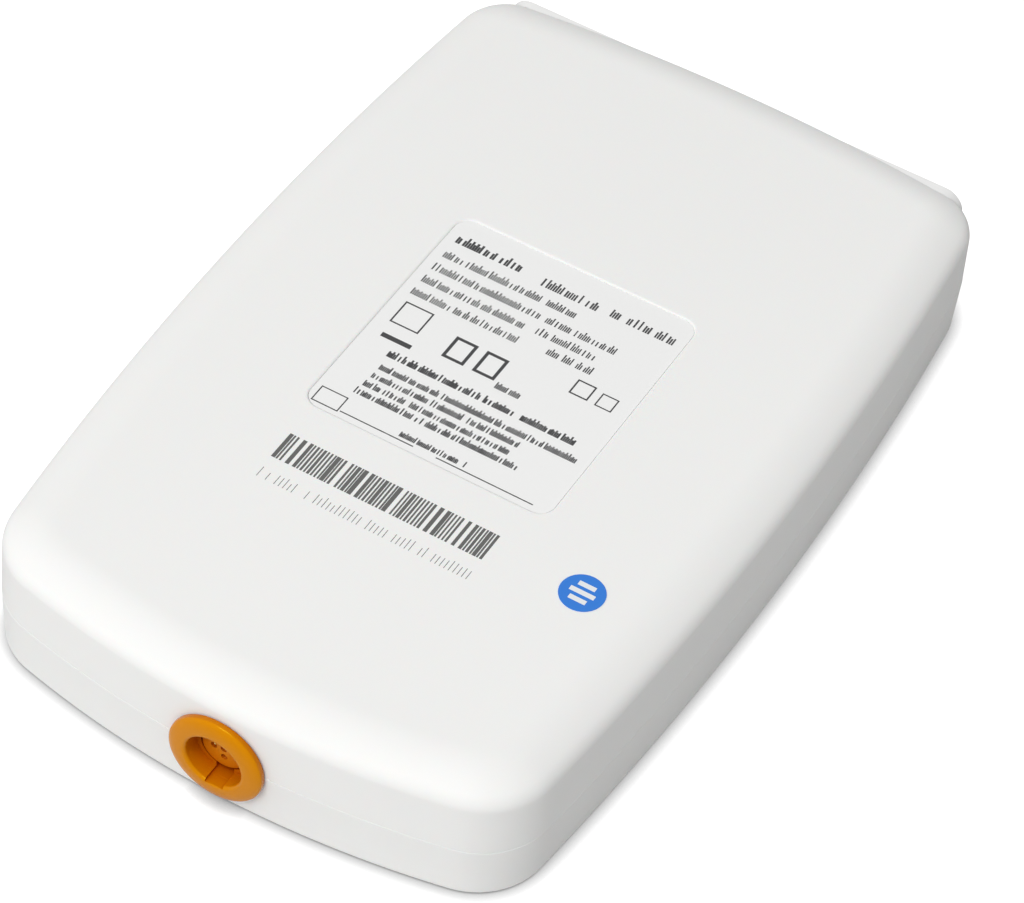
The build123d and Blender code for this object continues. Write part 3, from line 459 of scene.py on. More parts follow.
class Skin:
    """Mesh under construction: closed rings of points joined by faces."""

    def __init__(self) -> None:
        """Starts empty."""
        self.points: list[Vector] = []
        self.faces: list[tuple[int, ...]] = []

    def ring(self, points: Iterable[Vector]) -> list[int]:
        """Adds points.

        Args:
            points: The points in order.

        Returns:
            Their indices.
        """
        start = len(self.points)
        self.points.extend(points)
        return list(range(start, len(self.points)))

    def join(self, first: Sequence[int], second: Sequence[int]) -> None:
        """Joins two rings of equal length, facing outwards when they rise anticlockwise.

        Args:
            first: Indices of the lower ring.
            second: Indices of the upper ring.
        """
        count = len(first)
        for index in range(count):
            following = (index + 1) % count
            self.faces.append((first[index], first[following], second[following], second[index]))

    def join_all(self, rings: Sequence[Sequence[int]]) -> None:
        """Joins each ring to the next one."""
        for first, second in zip(rings, rings[1:]):
            self.join(first, second)

    def cap(self, ring: Sequence[int], up: bool) -> None:
        """Closes a ring with one flat face."""
        self.faces.append(tuple(ring) if up else tuple(reversed(ring)))

    def cap_round_hole(self, outer: Sequence[int], inner: Sequence[int]) -> None:
        """Closes the flat space between an outer and an inner ring, facing up.

        Args:
            outer: Indices of the outer ring.
            inner: Indices of the inner ring.
        """
        order = [*outer, *inner]
        loops = [[self.points[index] for index in loop] for loop in (outer, inner)]
        for triangle in tessellate_polygon(loops):
            corners = [order[index] for index in triangle]
            a, b, c = (self.points[corner] for corner in corners)
            if (b - a).cross(c - a).z < 0:
                corners.reverse()
            self.faces.append(tuple(corners))

    def box(self, low: Sequence[float], high: Sequence[float]) -> None:
        """Adds a closed box.

        Args:
            low: Its lowest corner.
            high: Its highest corner.
        """
        corners = ((low[0], low[1]), (high[0], low[1]), (high[0], high[1]), (low[0], high[1]))
        lower = self.ring(Vector((x, y, low[2])) for x, y in corners)
        upper = self.ring(Vector((x, y, high[2])) for x, y in corners)
        self.join(lower, upper)
        self.cap(lower, up=False)
        self.cap(upper, up=True)

    def block(self, centre: Point, half: Point, low: float, high: float) -> None:
        """Adds a closed box round an upright axis.

        Args:
            centre: X and Y of the axis.
            half: Half its size along X and along Y.
            low: Its lowest height.
            high: Its highest height.
        """
        self.box((centre[0] - half[0], centre[1] - half[1], low),
                 (centre[0] + half[0], centre[1] + half[1], high))

    def add(self, other: "Skin") -> None:
        """Adds another skin's points and faces.

        Args:
            other: The skin, which stays as it is.
        """
        start = len(self.points)
        self.points += other.points
        self.faces += [tuple(start + index for index in face) for face in other.faces]

    def prism(self, outline: Sequence[Point], start_y: float, end_y: float) -> None:
        """Adds a closed solid that runs along Y.

        Args:
            outline: Anticlockwise points in X and Z, seen from the near end.
            start_y: Near end.
            end_y: Far end.
        """
        near = self.ring(Vector((x, start_y, z)) for x, z in outline)
        far = self.ring(Vector((x, end_y, z)) for x, z in outline)
        self.join(far, near)
        self.cap(near, up=True)
        self.cap(far, up=False)

    def made(self, name: str) -> bpy.types.Object:
        """Turns the skin into an object in the scene.

        Args:
            name: The object's name.

        Returns:
            The mesh object.
        """
        mesh = bpy.data.meshes.new(name)
        mesh.from_pydata(self.points, [], self.faces)
        mesh.validate()
        piece = bpy.data.objects.new(name, mesh)
        bpy.context.scene.collection.objects.link(piece)
        return piece


def bake(piece: bpy.types.Object) -> None:
    """Turns a piece's modifiers into its own mesh.

    Args:
        piece: The piece, which keeps its name.
    """
    graph = bpy.context.evaluated_depsgraph_get()
    graph.update()
    mesh = bpy.data.meshes.new_from_object(piece.evaluated_get(graph))
    mesh.name = piece.name
    piece.modifiers.clear()
    piece.data = mesh


def subtract(piece: bpy.types.Object, cutters: Sequence[bpy.types.Object]) -> None:
    """Cuts closed shapes out of a piece and removes the shapes.

    Args:
        piece: The piece to cut.
        cutters: The shapes to take away.
    """
    for cutter in cutters:
        cut = piece.modifiers.new(cutter.name, "BOOLEAN")
        cut.operation = "DIFFERENCE"
        cut.solver = "EXACT"
        cut.object = cutter
    bake(piece)
    for cutter in cutters:
        bpy.data.objects.remove(cutter)


def unite(piece: bpy.types.Object, addition: bpy.types.Object) -> None:
    """Grows a piece by a shape that may cross itself, and removes the shape.

    Args:
        piece: The piece to grow.
        addition: The shape to add.
    """
    grown = piece.modifiers.new(addition.name, "BOOLEAN")
    grown.operation = "UNION"
    grown.solver = "EXACT"
    grown.use_self = True
    grown.object = addition
    bake(piece)
    bpy.data.objects.remove(addition)


def smooth(piece: bpy.types.Object, angle: float = SMOOTH_ANGLE) -> None:
    """Shades a piece smoothly, with edges sharper than an angle in degrees left crisp."""
    piece.data.shade_smooth()
    piece.data.set_sharp_from_angle(angle=math.radians(angle))


def arc_points(centre: Point, radius: float, start: float, end: float, steps: int) -> list[Point]:
    """Points along an arc.

    Args:
        centre: The arc's centre.
        radius: Its radius.
        start: First angle in degrees.
        end: Last angle in degrees.
        steps: Number of equal parts.

    Returns:
        The points from the first angle to the last.
    """
    turns = [math.radians(start + (end - start) * step / steps) for step in range(steps + 1)]
    return [(centre[0] + radius * math.cos(turn), centre[1] + radius * math.sin(turn)) for turn in turns]


def circle_points(centre: Point, radius: float, sides: int) -> list[Point]:
    """Anticlockwise points round a circle, each once."""
    return arc_points(centre, radius, 0, 360 - 360 / sides, sides - 1)


def rounded_rectangle(
    centre: Point, width: float, length: float, corner: float, steps: int = 10
) -> list[Point]:
    """Outline of a rectangle with rounded corners.

    Args:
        centre: Its middle.
        width: Its size along the first axis.
        length: Its size along the second axis.
        corner: Radius of its corners.
        steps: Parts of each corner.

    Returns:
        The points, anticlockwise.
    """
    points: list[Point] = []
    for quarter, (side_x, side_y) in enumerate(((1, 1), (-1, 1), (-1, -1), (1, -1))):
        middle = (
            centre[0] + side_x * (width / 2 - corner),
            centre[1] + side_y * (length / 2 - corner),
        )
        points += arc_points(middle, corner, 90 * quarter, 90 * (quarter + 1), steps)
    return points


def prism(name: str, outline: Sequence[Point], start_y: float, end_y: float) -> bpy.types.Object:
    """Solid with an outline in X and Z that runs along Y.

    Args:
        name: The object's name.
        outline: Anticlockwise points in X and Z, seen from the near end.
        start_y: Near end.
        end_y: Far end.

    Returns:
        The mesh object.
    """
    skin = Skin()
    skin.prism(outline, start_y, end_y)
    return skin.made(name)


def lathe(name: str, profile: Sequence[Point], axis_z: float, sides: int) -> bpy.types.Object:
    """Turned solid about the socket's axis.

    Args:
        name: The object's name.
        profile: Closed profile of radius and Y, with the material on its left.
        axis_z: Height of the axis.
        sides: Number of sides round the axis.

    Returns:
        The mesh object.
    """
    skin = Skin()
    turns = [2 * math.pi * side / sides for side in range(sides)]
    rings = [
        skin.ring(Vector((radius * math.cos(turn), y, axis_z + radius * math.sin(turn))) for turn in turns)
        for radius, y in profile
    ]
    for ring, following in zip(rings, [*rings[1:], rings[0]]):
        skin.join(following, ring)
    return skin.made(name)


# Housing


def circle_through(a: Vector, b: Vector, c: Vector) -> Circle:
    """Finds the circle through three points in a plane.

    Args:
        a: First point.
        b: Second point.
        c: Third point.

    Returns:
        The circle's centre and radius.
    """
    squares = (a.length_squared, b.length_squared, c.length_squared)
    d = 2 * (a.x * (b.y - c.y) + b.x * (c.y - a.y) + c.x * (a.y - b.y))
    x = (squares[0] * (b.y - c.y) + squares[1] * (c.y - a.y) + squares[2] * (a.y - b.y)) / d
    y = (squares[0] * (c.x - b.x) + squares[1] * (a.x - c.x) + squares[2] * (b.x - a.x)) / d
    centre = Vector((x, y))
    return centre, (a - centre).length


def corner_centre(first: Circle, second: Circle, radius: float, near: Vector) -> Vector:
    """Finds the small circle that touches two large ones from inside.

    Args:
        first: Centre and radius of one large circle.
        second: Centre and radius of the other.
        radius: Radius of the small circle.
        near: Point next to the place where it touches them.

    Returns:
        The small circle's centre.
    """
    (c1, r1), (c2, r2) = first, second
    a, b = r1 - radius, r2 - radius
    apart = (c2 - c1).length
    along = (apart**2 + a**2 - b**2) / (2 * apart)
    off = math.sqrt(max(a**2 - along**2, 0.0))
    direction = (c2 - c1) / apart
    side = Vector((-direction.y, direction.x))
    middle = c1 + direction * along
    return min((middle + side * off, middle - side * off), key=lambda spot: (spot - near).length)


@dataclass(frozen=True)
class HousingSizes:
    """Driving sizes of the clamshell, as in the part's source."""

    chord_length: float = 161.6 * MM
    near_chord: float = 100.0 * MM
    far_chord: float = 101.6 * MM
    near_bulge: float = 7.0 * MM
    far_bulge: float = 3.6 * MM
    side_bulge: float = 4.6 * MM
    near_corner: float = 13.8 * MM
    far_corner: float = 10.7 * MM
    height: float = 26.0 * MM
    seam: float = 11.3 * MM
    seam_gap: float = 0.015 * MM
    seam_round: float = 0.03 * MM
    ledge: float = 0.03 * MM
    edge_loop: float = 0.4 * MM
    flat_loop: float = 0.3 * MM
    draft: float = 0.22 * MM
    lower_draft: float = 0.45 * MM
    wall: float = 2.2 * MM
    roll_inset: float = 9.2 * MM
    roll_height: float = 5.0 * MM
    roll_edge: float = 3.4 * MM
    floor_round: float = 1.0 * MM
    lip_clearance: float = 0.15 * MM
    lip_thickness: float = 0.8 * MM
    lip_height: float = 1.6 * MM
    panel_corner: float = 4.0 * MM
    panel_thickness: float = 2.2 * MM
    rim_width: float = 76.0 * MM
    rim_floor_gap: float = 0.4 * MM
    rim_roof_gap: float = 0.2 * MM


@dataclass(frozen=True)
class InnerSizes:
    """Sizes of what is moulded inside the covers, as in the part's source."""

    rib: float = 1.2 * MM
    rib_pitch: float = 36.0 * MM
    rib_length: float = 76.0 * MM
    floor_rib: float = 1.4 * MM
    roof_rib: float = 1.5 * MM
    post_width: float = 5.0 * MM
    post_gap: float = 0.3 * MM
    post_rows: Pair = (-28.0 * MM, 46.0 * MM)
    column_x: float = 38.0 * MM
    boss_width: float = 6.0 * MM
    near_setback: float = 7.5 * MM
    far_setback: float = 10.5 * MM
    pilot_radius: float = 1.0 * MM
    seat_width: float = 18.0 * MM
    seat_depth: float = 3.8 * MM
    hook_pitch: float = 50.0 * MM
    hook_width: float = 8.0 * MM
    hook_thickness: float = 1.4 * MM
    hook_gap: float = 0.25 * MM
    hook_root: float = 6.0 * MM
    hook_reach: float = 0.55 * MM
    hook_rise: float = 4.0 * MM
    hook_lead_in: float = 2.2 * MM
    hook_land: float = 0.5 * MM
    clearance: float = 0.15 * MM
    sunk: float = 0.6 * MM
    overlap: float = 0.5 * MM
    past: float = 3.0 * MM


@dataclass(frozen=True)
class Fineness:
    """How finely the housing's arcs are divided: one step's length, or the number of parts."""

    side_step: float = 2.0 * MM
    corner: int = 30
    roll: int = 14
    inner_roll: int = 6
    seam_edge: int = 5
    foot: int = 8
    recess_edge: int = 6
    panel_corner: int = 8
    socket_hole: int = 96
    pilot: int = 24


FINE = Fineness()


class Outline:
    """Points and inward normals round the housing, seen from above, anticlockwise."""

    def __init__(self, sizes: HousingSizes) -> None:
        """Samples the four large arcs and the four corner arcs.

        Args:
            sizes: The housing's sizes.
        """
        near_y, far_y = -sizes.chord_length / 2, sizes.chord_length / 2
        near_x, far_x = sizes.near_chord / 2, sizes.far_chord / 2
        side_x = (near_x + far_x) / 2 + sizes.side_bulge
        corners = [Vector(spot) for spot in (
            (-near_x, near_y), (near_x, near_y), (far_x, far_y), (-far_x, far_y)
        )]
        middles = [Vector(spot) for spot in (
            (0, near_y - sizes.near_bulge), (side_x, 0), (0, far_y + sizes.far_bulge), (-side_x, 0)
        )]
        sides = [circle_through(corners[k], middles[k], corners[(k + 1) % 4]) for k in range(4)]
        radii = (sizes.near_corner, sizes.near_corner, sizes.far_corner, sizes.far_corner)
        centres = [corner_centre(sides[k - 1], sides[k], radii[k], corners[k]) for k in range(4)]
        self.points: list[Vector] = []
        self.inward: list[Vector] = []
        for k in range(4):
            before, (side, radius) = sides[k - 1][0], sides[k]
            start = centres[k] - side
            end = centres[(k + 1) % 4] - side
            self._between(centres[k], radii[k], centres[k] - before, start, FINE.corner)
            steps = max(2, round(radius * start.angle(end) / FINE.side_step))
            self._between(side, radius, start, end, steps)

    def _between(self, centre: Vector, radius: float, start: Vector, end: Vector, steps: int) -> None:
        """Adds an anticlockwise arc without its last point.

        Args:
            centre: The arc's centre.
            radius: Its radius.
            start: Direction of its first point from the centre.
            end: Direction of its last point from the centre.
            steps: Number of equal parts.
        """
        first = math.atan2(start.y, start.x)
        sweep = (math.atan2(end.y, end.x) - first) % (2 * math.pi)
        for index in range(steps):
            turn = first + sweep * index / steps
            outward = Vector((math.cos(turn), math.sin(turn)))
            self.points.append(centre + outward * radius)
            self.inward.append(-outward)

    def ring(self, inset: float, z: float) -> list[Vector]:
        """The outline moved inwards by inset, at a height."""
        return [Vector((*(point + inward * inset), z)) for point, inward in zip(self.points, self.inward)]


class Covers:
    """The two moulded covers that make the housing."""

    def __init__(self, sizes: HousingSizes, label: "LabelSizes", socket: "SocketSizes") -> None:
        """Keeps the sizes and samples the outline.

        Args:
            sizes: The housing's sizes.
            label: Sizes of the recess for the label.
            socket: Sizes of the hole for the patient socket.
        """
        self.sizes = sizes
        self.inner = InnerSizes()
        self.label = label
        self.socket = socket
        self.outline = Outline(sizes)
        self.near_y = -sizes.chord_length / 2 - sizes.near_bulge
        self.far_y = sizes.chord_length / 2 + sizes.far_bulge

    def roll(self, inset: float, top: float, steps: int) -> list[Point]:
        """Profile of the rolled edge: a tight arc off the side that runs into a wide crown.

        Args:
            inset: Inset of the upright side.
            top: Height of the flat top.
            steps: Parts of each of the two arcs.

        Returns:
            Inset and height of each point, from the upright side to the flat top.
        """
        sizes = self.sizes
        start = sizes.height - sizes.roll_height
        run, rise = sizes.roll_inset - inset, top - start
        tight = sizes.roll_edge - inset
        wide = (run**2 - 2 * run * tight + rise**2) / (2 * (rise - tight))
        lean = math.degrees(math.atan2(wide - rise, run - tight))
        lower = [(inset + tight - x, start + z) for x, z in arc_points((0, 0), tight, 0, lean, steps)]
        upper = [(inset + run - x, start + rise - wide + z)
                 for x, z in arc_points((0, 0), wide, lean, 90, steps)]
        return lower + upper[1:]

    def _wall(self, foot: Point, head: Point) -> list[Point]:
        """Places points close to both ends of a straight wall, which keep its shading flat.

        Args:
            foot: Inset and height of the wall's lower end.
            head: Inset and height of its upper end.

        Returns:
            The two points.
        """
        share = self.sizes.edge_loop / (head[1] - foot[1])
        return [(foot[0] + (head[0] - foot[0]) * part, foot[1] + (head[1] - foot[1]) * part)
                for part in (share, 1 - share)]

    def _loft(self, name: str, profile: Sequence[Point]) -> tuple[Skin, list[int]]:
        """Makes a skin of rings that follow a profile, closed at its first ring.

        Args:
            name: The cover's name, for the log.
            profile: Inset and height of each ring.

        Returns:
            The skin and the indices of its last ring.
        """
        skin = Skin()
        rings = [skin.ring(self.outline.ring(inset, z)) for inset, z in profile]
        skin.cap(rings[0], up=False)
        skin.join_all(rings)
        log.info("%s: %d rings of %d points", name, len(rings), len(rings[0]))
        return skin, rings[-1]

    def back(self) -> bpy.types.Object:
        """Builds the upper cover with its rolled edge and label recess.

        Returns:
            The back cover.
        """
        sizes, soft = self.sizes, self.sizes.seam_round
        inner = reversed(self.roll(sizes.wall, sizes.height - sizes.wall, FINE.inner_roll))
        edge = [(sizes.ledge + soft - x, sizes.seam + soft + z)
                for x, z in arc_points((0, 0), soft, -90, 0, FINE.seam_edge)]
        drafted = [(x + sizes.draft * (1 - x / sizes.roll_inset), z)
                   for x, z in self.roll(0.0, sizes.height, FINE.roll)]
        profile = [
            *inner, (sizes.wall, sizes.seam), *edge, *self._wall(edge[-1], drafted[0]), *drafted,
            (sizes.roll_inset + sizes.flat_loop, sizes.height),
        ]
        skin, top = self._loft("back_cover", profile)
        self._recess(skin, top)
        cover = skin.made("back_cover_moulded")
        unite(cover, self._inside_back())
        subtract(cover, self._openings() + self._catches())
        smooth(cover)
        return cover

    def _recess(self, skin: Skin, around: Sequence[int]) -> None:
        """Adds the flat top and the label's recess in it.

        Args:
            skin: The back cover's skin.
            around: Indices of the ring round the flat top.
        """
        top, label = self.sizes.height, self.label
        rim = label.edge_round
        film_low, film_high = (Vector(corner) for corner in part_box("rating_label"))
        film = film_high - film_low
        side = (label.width - film.x) / 2 - label.film_gap
        sections = [(rim + self.sizes.flat_loop, top)]
        sections += [(rim + x, top - rim + z)
                     for x, z in arc_points((0, 0), rim, 90, 180, FINE.recess_edge)]
        sections.append((0.0, top - label.recess))
        loops = []
        for grow, z in sections:
            grow -= side
            loop = rounded_rectangle(
                (0.0, label.centre_y), label.width + 2 * grow, label.length + 2 * grow, label.corner + grow
            )
            loops.append(skin.ring(Vector((x, y, z)) for x, y in loop))
        skin.cap_round_hole(around, loops[0])
        skin.join_all(loops)
        skin.cap(loops[-1], up=True)

    def front(self) -> bpy.types.Object:
        """Builds the lower cover with its lip at the seam.

        Returns:
            The front cover.
        """
        sizes, soft, foot = self.sizes, self.sizes.seam_round, self.sizes.floor_round
        top = sizes.seam - sizes.seam_gap
        crest = sizes.seam + sizes.lip_height
        lip = sizes.wall + sizes.lip_clearance
        inside = lip + sizes.lip_thickness
        bottom = [(foot + sizes.lower_draft - x, foot + z)
                  for x, z in arc_points((0, 0), foot, -90, 0, FINE.foot)]
        edge = [(soft - x, top - soft + z) for x, z in arc_points((0, 0), soft, 0, 90, FINE.seam_edge)]
        profile = [
            *bottom, *self._wall(bottom[-1], edge[0]), *edge,
            (lip, top), (lip, crest), (inside, crest), (inside, sizes.wall),
        ]
        skin, floor = self._loft("front_cover", profile)
        skin.cap(floor, up=True)
        cover = skin.made("front_cover_moulded")
        unite(cover, self._inside_front())
        subtract(cover, self._openings() + self._lip_gaps(top) + self._pilots())
        smooth(cover)
        return cover

    def _openings(self) -> list[bpy.types.Object]:
        """Makes the shapes of the end panel's mouth and of the socket's hole.

        Returns:
            The shapes to cut out of a cover.
        """
        sizes, inner = self.sizes, self.inner
        low, high = (Vector(corner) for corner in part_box("end_panel"))
        gap = inner.clearance
        width = high.x - low.x + 2 * gap
        tall = high.z - low.z + 2 * gap
        plate = rounded_rectangle(
            (0.0, (low.z + high.z) / 2), width, tall, sizes.panel_corner + gap, FINE.panel_corner
        )
        back_y = high.y - sizes.panel_thickness - gap
        mouth = prism("panel_mouth", plate, back_y, self.far_y + inner.past)
        rim_low = sizes.wall + sizes.rim_floor_gap - gap
        rim_high = sizes.height - sizes.roll_height - sizes.rim_roof_gap + gap
        half = sizes.rim_width / 2 + gap
        corners = ((-half, rim_low), (half, rim_low), (half, rim_high), (-half, rim_high))
        rim = prism("panel_rim", corners, low.y - gap, back_y + inner.overlap)
        hole = circle_points((0.0, sizes.seam), self.socket.hole_radius, FINE.socket_hole)
        barrel_end = self.near_y + inner.seat_depth + inner.past
        barrel = prism("socket_hole", hole, self.near_y - inner.past, barrel_end)
        return [mouth, rim, barrel]

    def _hook_places(self) -> list[tuple[int, float]]:
        """Side and Y of each snap hook."""
        return [(side, row * self.inner.hook_pitch) for side in (-1, 1) for row in (-1, 0, 1)]

    def _against_wall(self, skin: Skin, side: int, y: float) -> Skin:
        """Moves a skin made at the plane x = 0 to a side wall's inner face.

        Args:
            skin: The skin, with its outer side towards +X.
            side: 1 for the right wall, -1 for the left.
            y: Place along the wall.

        Returns:
            The same skin, moved.
        """
        s = self.sizes
        slope = 8 * s.side_bulge * y / s.chord_length**2
        slope -= (s.far_chord - s.near_chord) / (2 * s.chord_length)
        share = y / s.chord_length
        half = (s.near_chord + s.far_chord) / 4 + share * (s.far_chord - s.near_chord) / 2
        half += s.side_bulge * (1 - 4 * share * share)
        turn = Matrix.Rotation(math.atan(slope), 3, "Z")
        place = Vector((half - s.wall, y, 0.0))
        skin.points = [turn @ point + place for point in skin.points]
        if side < 0:
            skin.points = [Vector((-point.x, point.y, point.z)) for point in skin.points]
            skin.faces = [tuple(reversed(face)) for face in skin.faces]
        return skin

    def _hook(self, side: int, y: float) -> Skin:
        """Makes a springy hook that stands on the front cover's side wall.

        Args:
            side: 1 for the right wall, -1 for the left.
            y: Place along the wall.

        Returns:
            The hook's skin.
        """
        s, inner = self.sizes, self.inner
        back_x = -inner.hook_gap - inner.hook_thickness
        foot, barb = s.seam - inner.hook_root, s.seam + inner.hook_rise
        section = (
            (back_x, foot), (s.wall / 2, foot), (s.wall / 2, s.seam - inner.hook_gap),
            (-inner.hook_gap, s.seam - inner.hook_gap), (-inner.hook_gap, barb), (inner.hook_reach, barb),
            (inner.hook_reach, barb + inner.hook_land), (back_x, barb + inner.hook_lead_in),
        )
        skin = Skin()
        skin.prism(section, -inner.hook_width / 2, inner.hook_width / 2)
        return self._against_wall(skin, side, y)

    def _catches(self) -> list[bpy.types.Object]:
        """Makes the pockets in the back cover's side walls that the hooks snap into.

        Returns:
            The shapes to cut out.
        """
        inner = self.inner
        depth = inner.hook_reach + inner.clearance
        half = inner.hook_width / 2 + 2 * inner.clearance
        low = self.sizes.seam + inner.hook_rise - inner.clearance
        high = low + inner.hook_lead_in + 2 * inner.clearance
        pockets = []
        for side, y in self._hook_places():
            skin = Skin()
            skin.block((0.0, 0.0), (depth, half), low, high)
            pockets.append(self._against_wall(skin, side, y).made("catch"))
        return pockets

    def _boss_places(self) -> list[Point]:
        """Finds the middle of each boss that carries the board.

        Returns:
            X and Y of the four bosses.
        """
        low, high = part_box("main_board")
        rows = (low[1] + self.inner.near_setback, high[1] - self.inner.far_setback)
        return [(x, y) for x in (-self.inner.column_x, self.inner.column_x) for y in rows]

    def _pilots(self) -> list[bpy.types.Object]:
        """Makes the holes for the board's two screws.

        Returns:
            The shapes to cut out.
        """
        heights = (self.sizes.wall / 2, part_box("main_board")[0][2] + self.inner.sunk)
        left_near, _, _, right_far = self._boss_places()
        holes = []
        for place in (left_near, right_far):
            skin = Skin()
            circle = circle_points(place, self.inner.pilot_radius, FINE.pilot)
            rings = [skin.ring(Vector((x, y, z)) for x, y in circle) for z in heights]
            skin.join(*rings)
            skin.cap(rings[0], up=False)
            skin.cap(rings[1], up=True)
            holes.append(skin.made("pilot"))
        return holes

    def _lip_gaps(self, top: float) -> list[bpy.types.Object]:
        """Makes the boxes that open the lip at the socket's seat and at the end panel.

        Args:
            top: Height at which the lip starts.

        Returns:
            The shapes to cut out.
        """
        inner = self.inner
        crest = self.sizes.seam + 3 * self.sizes.lip_height
        panel_low, panel_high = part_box("end_panel")
        seat_half = inner.seat_width / 2 + inner.clearance
        panel_half = panel_high[0] + inner.clearance
        gaps = []
        for half, near, far in (
            (seat_half, self.near_y - inner.seat_depth, self.near_y + 2 * inner.seat_depth),
            (panel_half, panel_low[1] - inner.clearance, self.far_y + inner.seat_depth),
        ):
            skin = Skin()
            skin.box((-half, near, top), (half, far, crest))
            gaps.append(skin.made("lip_gap"))
        return gaps

    def _seat(self, skin: Skin, low: float, high: float) -> None:
        """Adds one half of the socket's seat.

        Args:
            skin: The skin to add it to.
            low: Its lowest height.
            high: Its highest height.
        """
        wide = self.inner.seat_width / 2
        skin.box((-wide, self.near_y + self.sizes.wall / 2, low),
                 (wide, self.near_y + self.inner.seat_depth, high))

    def _inside_front(self) -> bpy.types.Object:
        """Makes the floor ribs, bosses, snap hooks and the lower half of the socket's seat.

        Returns:
            The shape to unite with the front cover.
        """
        s, inner = self.sizes, self.inner
        skin = Skin()
        low, half = s.wall - inner.sunk, inner.rib / 2
        rib_top = s.wall + inner.floor_rib
        for row in (-1, 0, 1):
            skin.block((0.0, row * inner.rib_pitch), (inner.rib_length / 2, half), low, rib_top)
        for side in (-1, 1):
            skin.block((side * inner.rib_pitch / 2, 0.0), (half, inner.rib_pitch), low, rib_top)
        boss = inner.boss_width / 2
        for place in self._boss_places():
            skin.block(place, (boss, boss), low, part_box("main_board")[0][2])
        self._seat(skin, s.seam - inner.seat_width / 2, s.seam - s.seam_gap)
        for side, y in self._hook_places():
            skin.add(self._hook(side, y))
        return skin.made("inside_front")

    def _inside_back(self) -> bpy.types.Object:
        """Makes the roof ribs, crossed posts and the upper half of the socket's seat.

        Returns:
            The shape to unite with the back cover.
        """
        s, inner = self.sizes, self.inner
        skin = Skin()
        roof = s.height - s.wall
        high, half = roof + inner.sunk, inner.rib / 2
        for row in (-1, 0, 1):
            middle = (0.0, row * inner.rib_pitch)
            skin.block(middle, (inner.rib_length / 2, half), roof - inner.roof_rib, high)
        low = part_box("main_board")[1][2] + inner.post_gap
        wide = inner.post_width / 2
        for x in (-inner.column_x, inner.column_x):
            for y in inner.post_rows:
                skin.block((x, y), (wide, half), low, high)
                skin.block((x, y), (half, wide), low, high)
        self._seat(skin, s.seam, s.seam + inner.seat_width / 2)
        return skin.made("inside_back")


# Labels and print


@dataclass(frozen=True)
class LabelSizes:
    """Sizes of the recess, its film and the round sticker."""

    width: float = 47.5 * MM
    length: float = 52.7 * MM
    centre_y: float = -0.74 * MM
    corner: float = 3.2 * MM
    recess: float = 0.45 * MM
    edge_round: float = 0.44 * MM
    film_gap: float = 0.015 * MM
    ink: float = 0.02 * MM


NOISE_START: Triple = (17.0, 3.1, 5.3)
ROUNDING = 1e-6


@dataclass(frozen=True)
class MarkRow:
    """A row of plain upright marks.

    Attributes:
        left: Left end in millimetres.
        right: Right end in millimetres.
        y: Middle of the row in millimetres.
        tall: Height of the marks in millimetres.
        pitch: Distance of the marks in millimetres.
        width: Width of the widest mark in millimetres.
        keep: Share of the marks that are there.
        uneven: Share by which marks differ in height.
        uneven_width: Share by which marks differ in width.
        gaps: Level under which a slow noise along the row leaves a gap.
    """

    left: float
    right: float
    y: float
    tall: float
    pitch: float
    width: float
    keep: float = 1.0
    uneven: float = 0.0
    uneven_width: float = 0.0
    gaps: float = 0.0

    @property
    def count(self) -> int:
        """Number of places for a mark."""
        return max(1, int((self.right - self.left) / self.pitch + ROUNDING))

    @property
    def noise_start(self) -> float:
        """Where the row starts on the slow noise, which differs from row to row."""
        return NOISE_START[0] * self.tall + NOISE_START[1] * self.left + NOISE_START[2] * int(self.y)


@dataclass(frozen=True)
class StrokeStyle:
    """Form of the strokes in a line.

    Attributes:
        pitch: Distance of two tall strokes, as a share of the line's height.
        width: Width of a stroke, as a share of the line's height.
        low: Height of the low strokes between the tall ones, as a share of the line's height.
        keep: Share of the tall and of the low strokes that are there.
        uneven: Share by which the tall and the low strokes differ in height.
        uneven_width: Share by which all strokes differ in width.
        gaps: Level of the slow noise under which the line has a gap.
    """

    pitch: float = 0.40
    width: float = 0.145
    low: float = 0.66
    keep: Pair = (0.97, 0.93)
    uneven: Pair = (0.34, 0.1)
    uneven_width: float = 0.2
    gaps: float = 0.37


STROKES = StrokeStyle()


@dataclass(frozen=True)
class ScriptLine:
    """A line of plain upright strokes, in millimetres.

    Attributes:
        left: Left end.
        right: Right end.
        y: Middle of the line.
        tall: Height of the tall strokes.
        bold: Width of the strokes against the usual width.
    """

    left: float
    right: float
    y: float
    tall: float
    bold: float = 1.0

    def rows(self) -> list[MarkRow]:
        """Lays out tall strokes, and lower ones between them, on one base line.

        Returns:
            The row of tall strokes and the row of low ones.
        """
        style = STROKES
        pitch = style.pitch * self.tall
        width = style.width * self.tall * self.bold
        low = style.low * self.tall
        low_y = self.y - (self.tall - low) / 2
        places = ((self.left, self.y, self.tall), (self.left + pitch / 2, low_y, low))
        return [
            MarkRow(left, self.right, y, tall, pitch, width, keep, uneven, style.uneven_width, style.gaps)
            for (left, y, tall), keep, uneven in zip(places, style.keep, style.uneven)
        ]


@dataclass(frozen=True)
class Bar:
    """A plain bar, in millimetres."""

    left: float
    low: float
    width: float
    tall: float


@dataclass(frozen=True)
class OpenBox(Bar):
    """A plain empty box, drawn with a line of one width."""

    line: float

    def bars(self) -> list[Bar]:
        """Makes the four bars of the box.

        Returns:
            The lower, upper, left and right bar.
        """
        low, side_tall = self.low + self.line, self.tall - 2 * self.line
        return [
            Bar(self.left, self.low, self.width, self.line),
            Bar(self.left, self.low + self.tall - self.line, self.width, self.line),
            Bar(self.left, low, self.line, side_tall),
            Bar(self.left + self.width - self.line, low, self.line, side_tall),
        ]


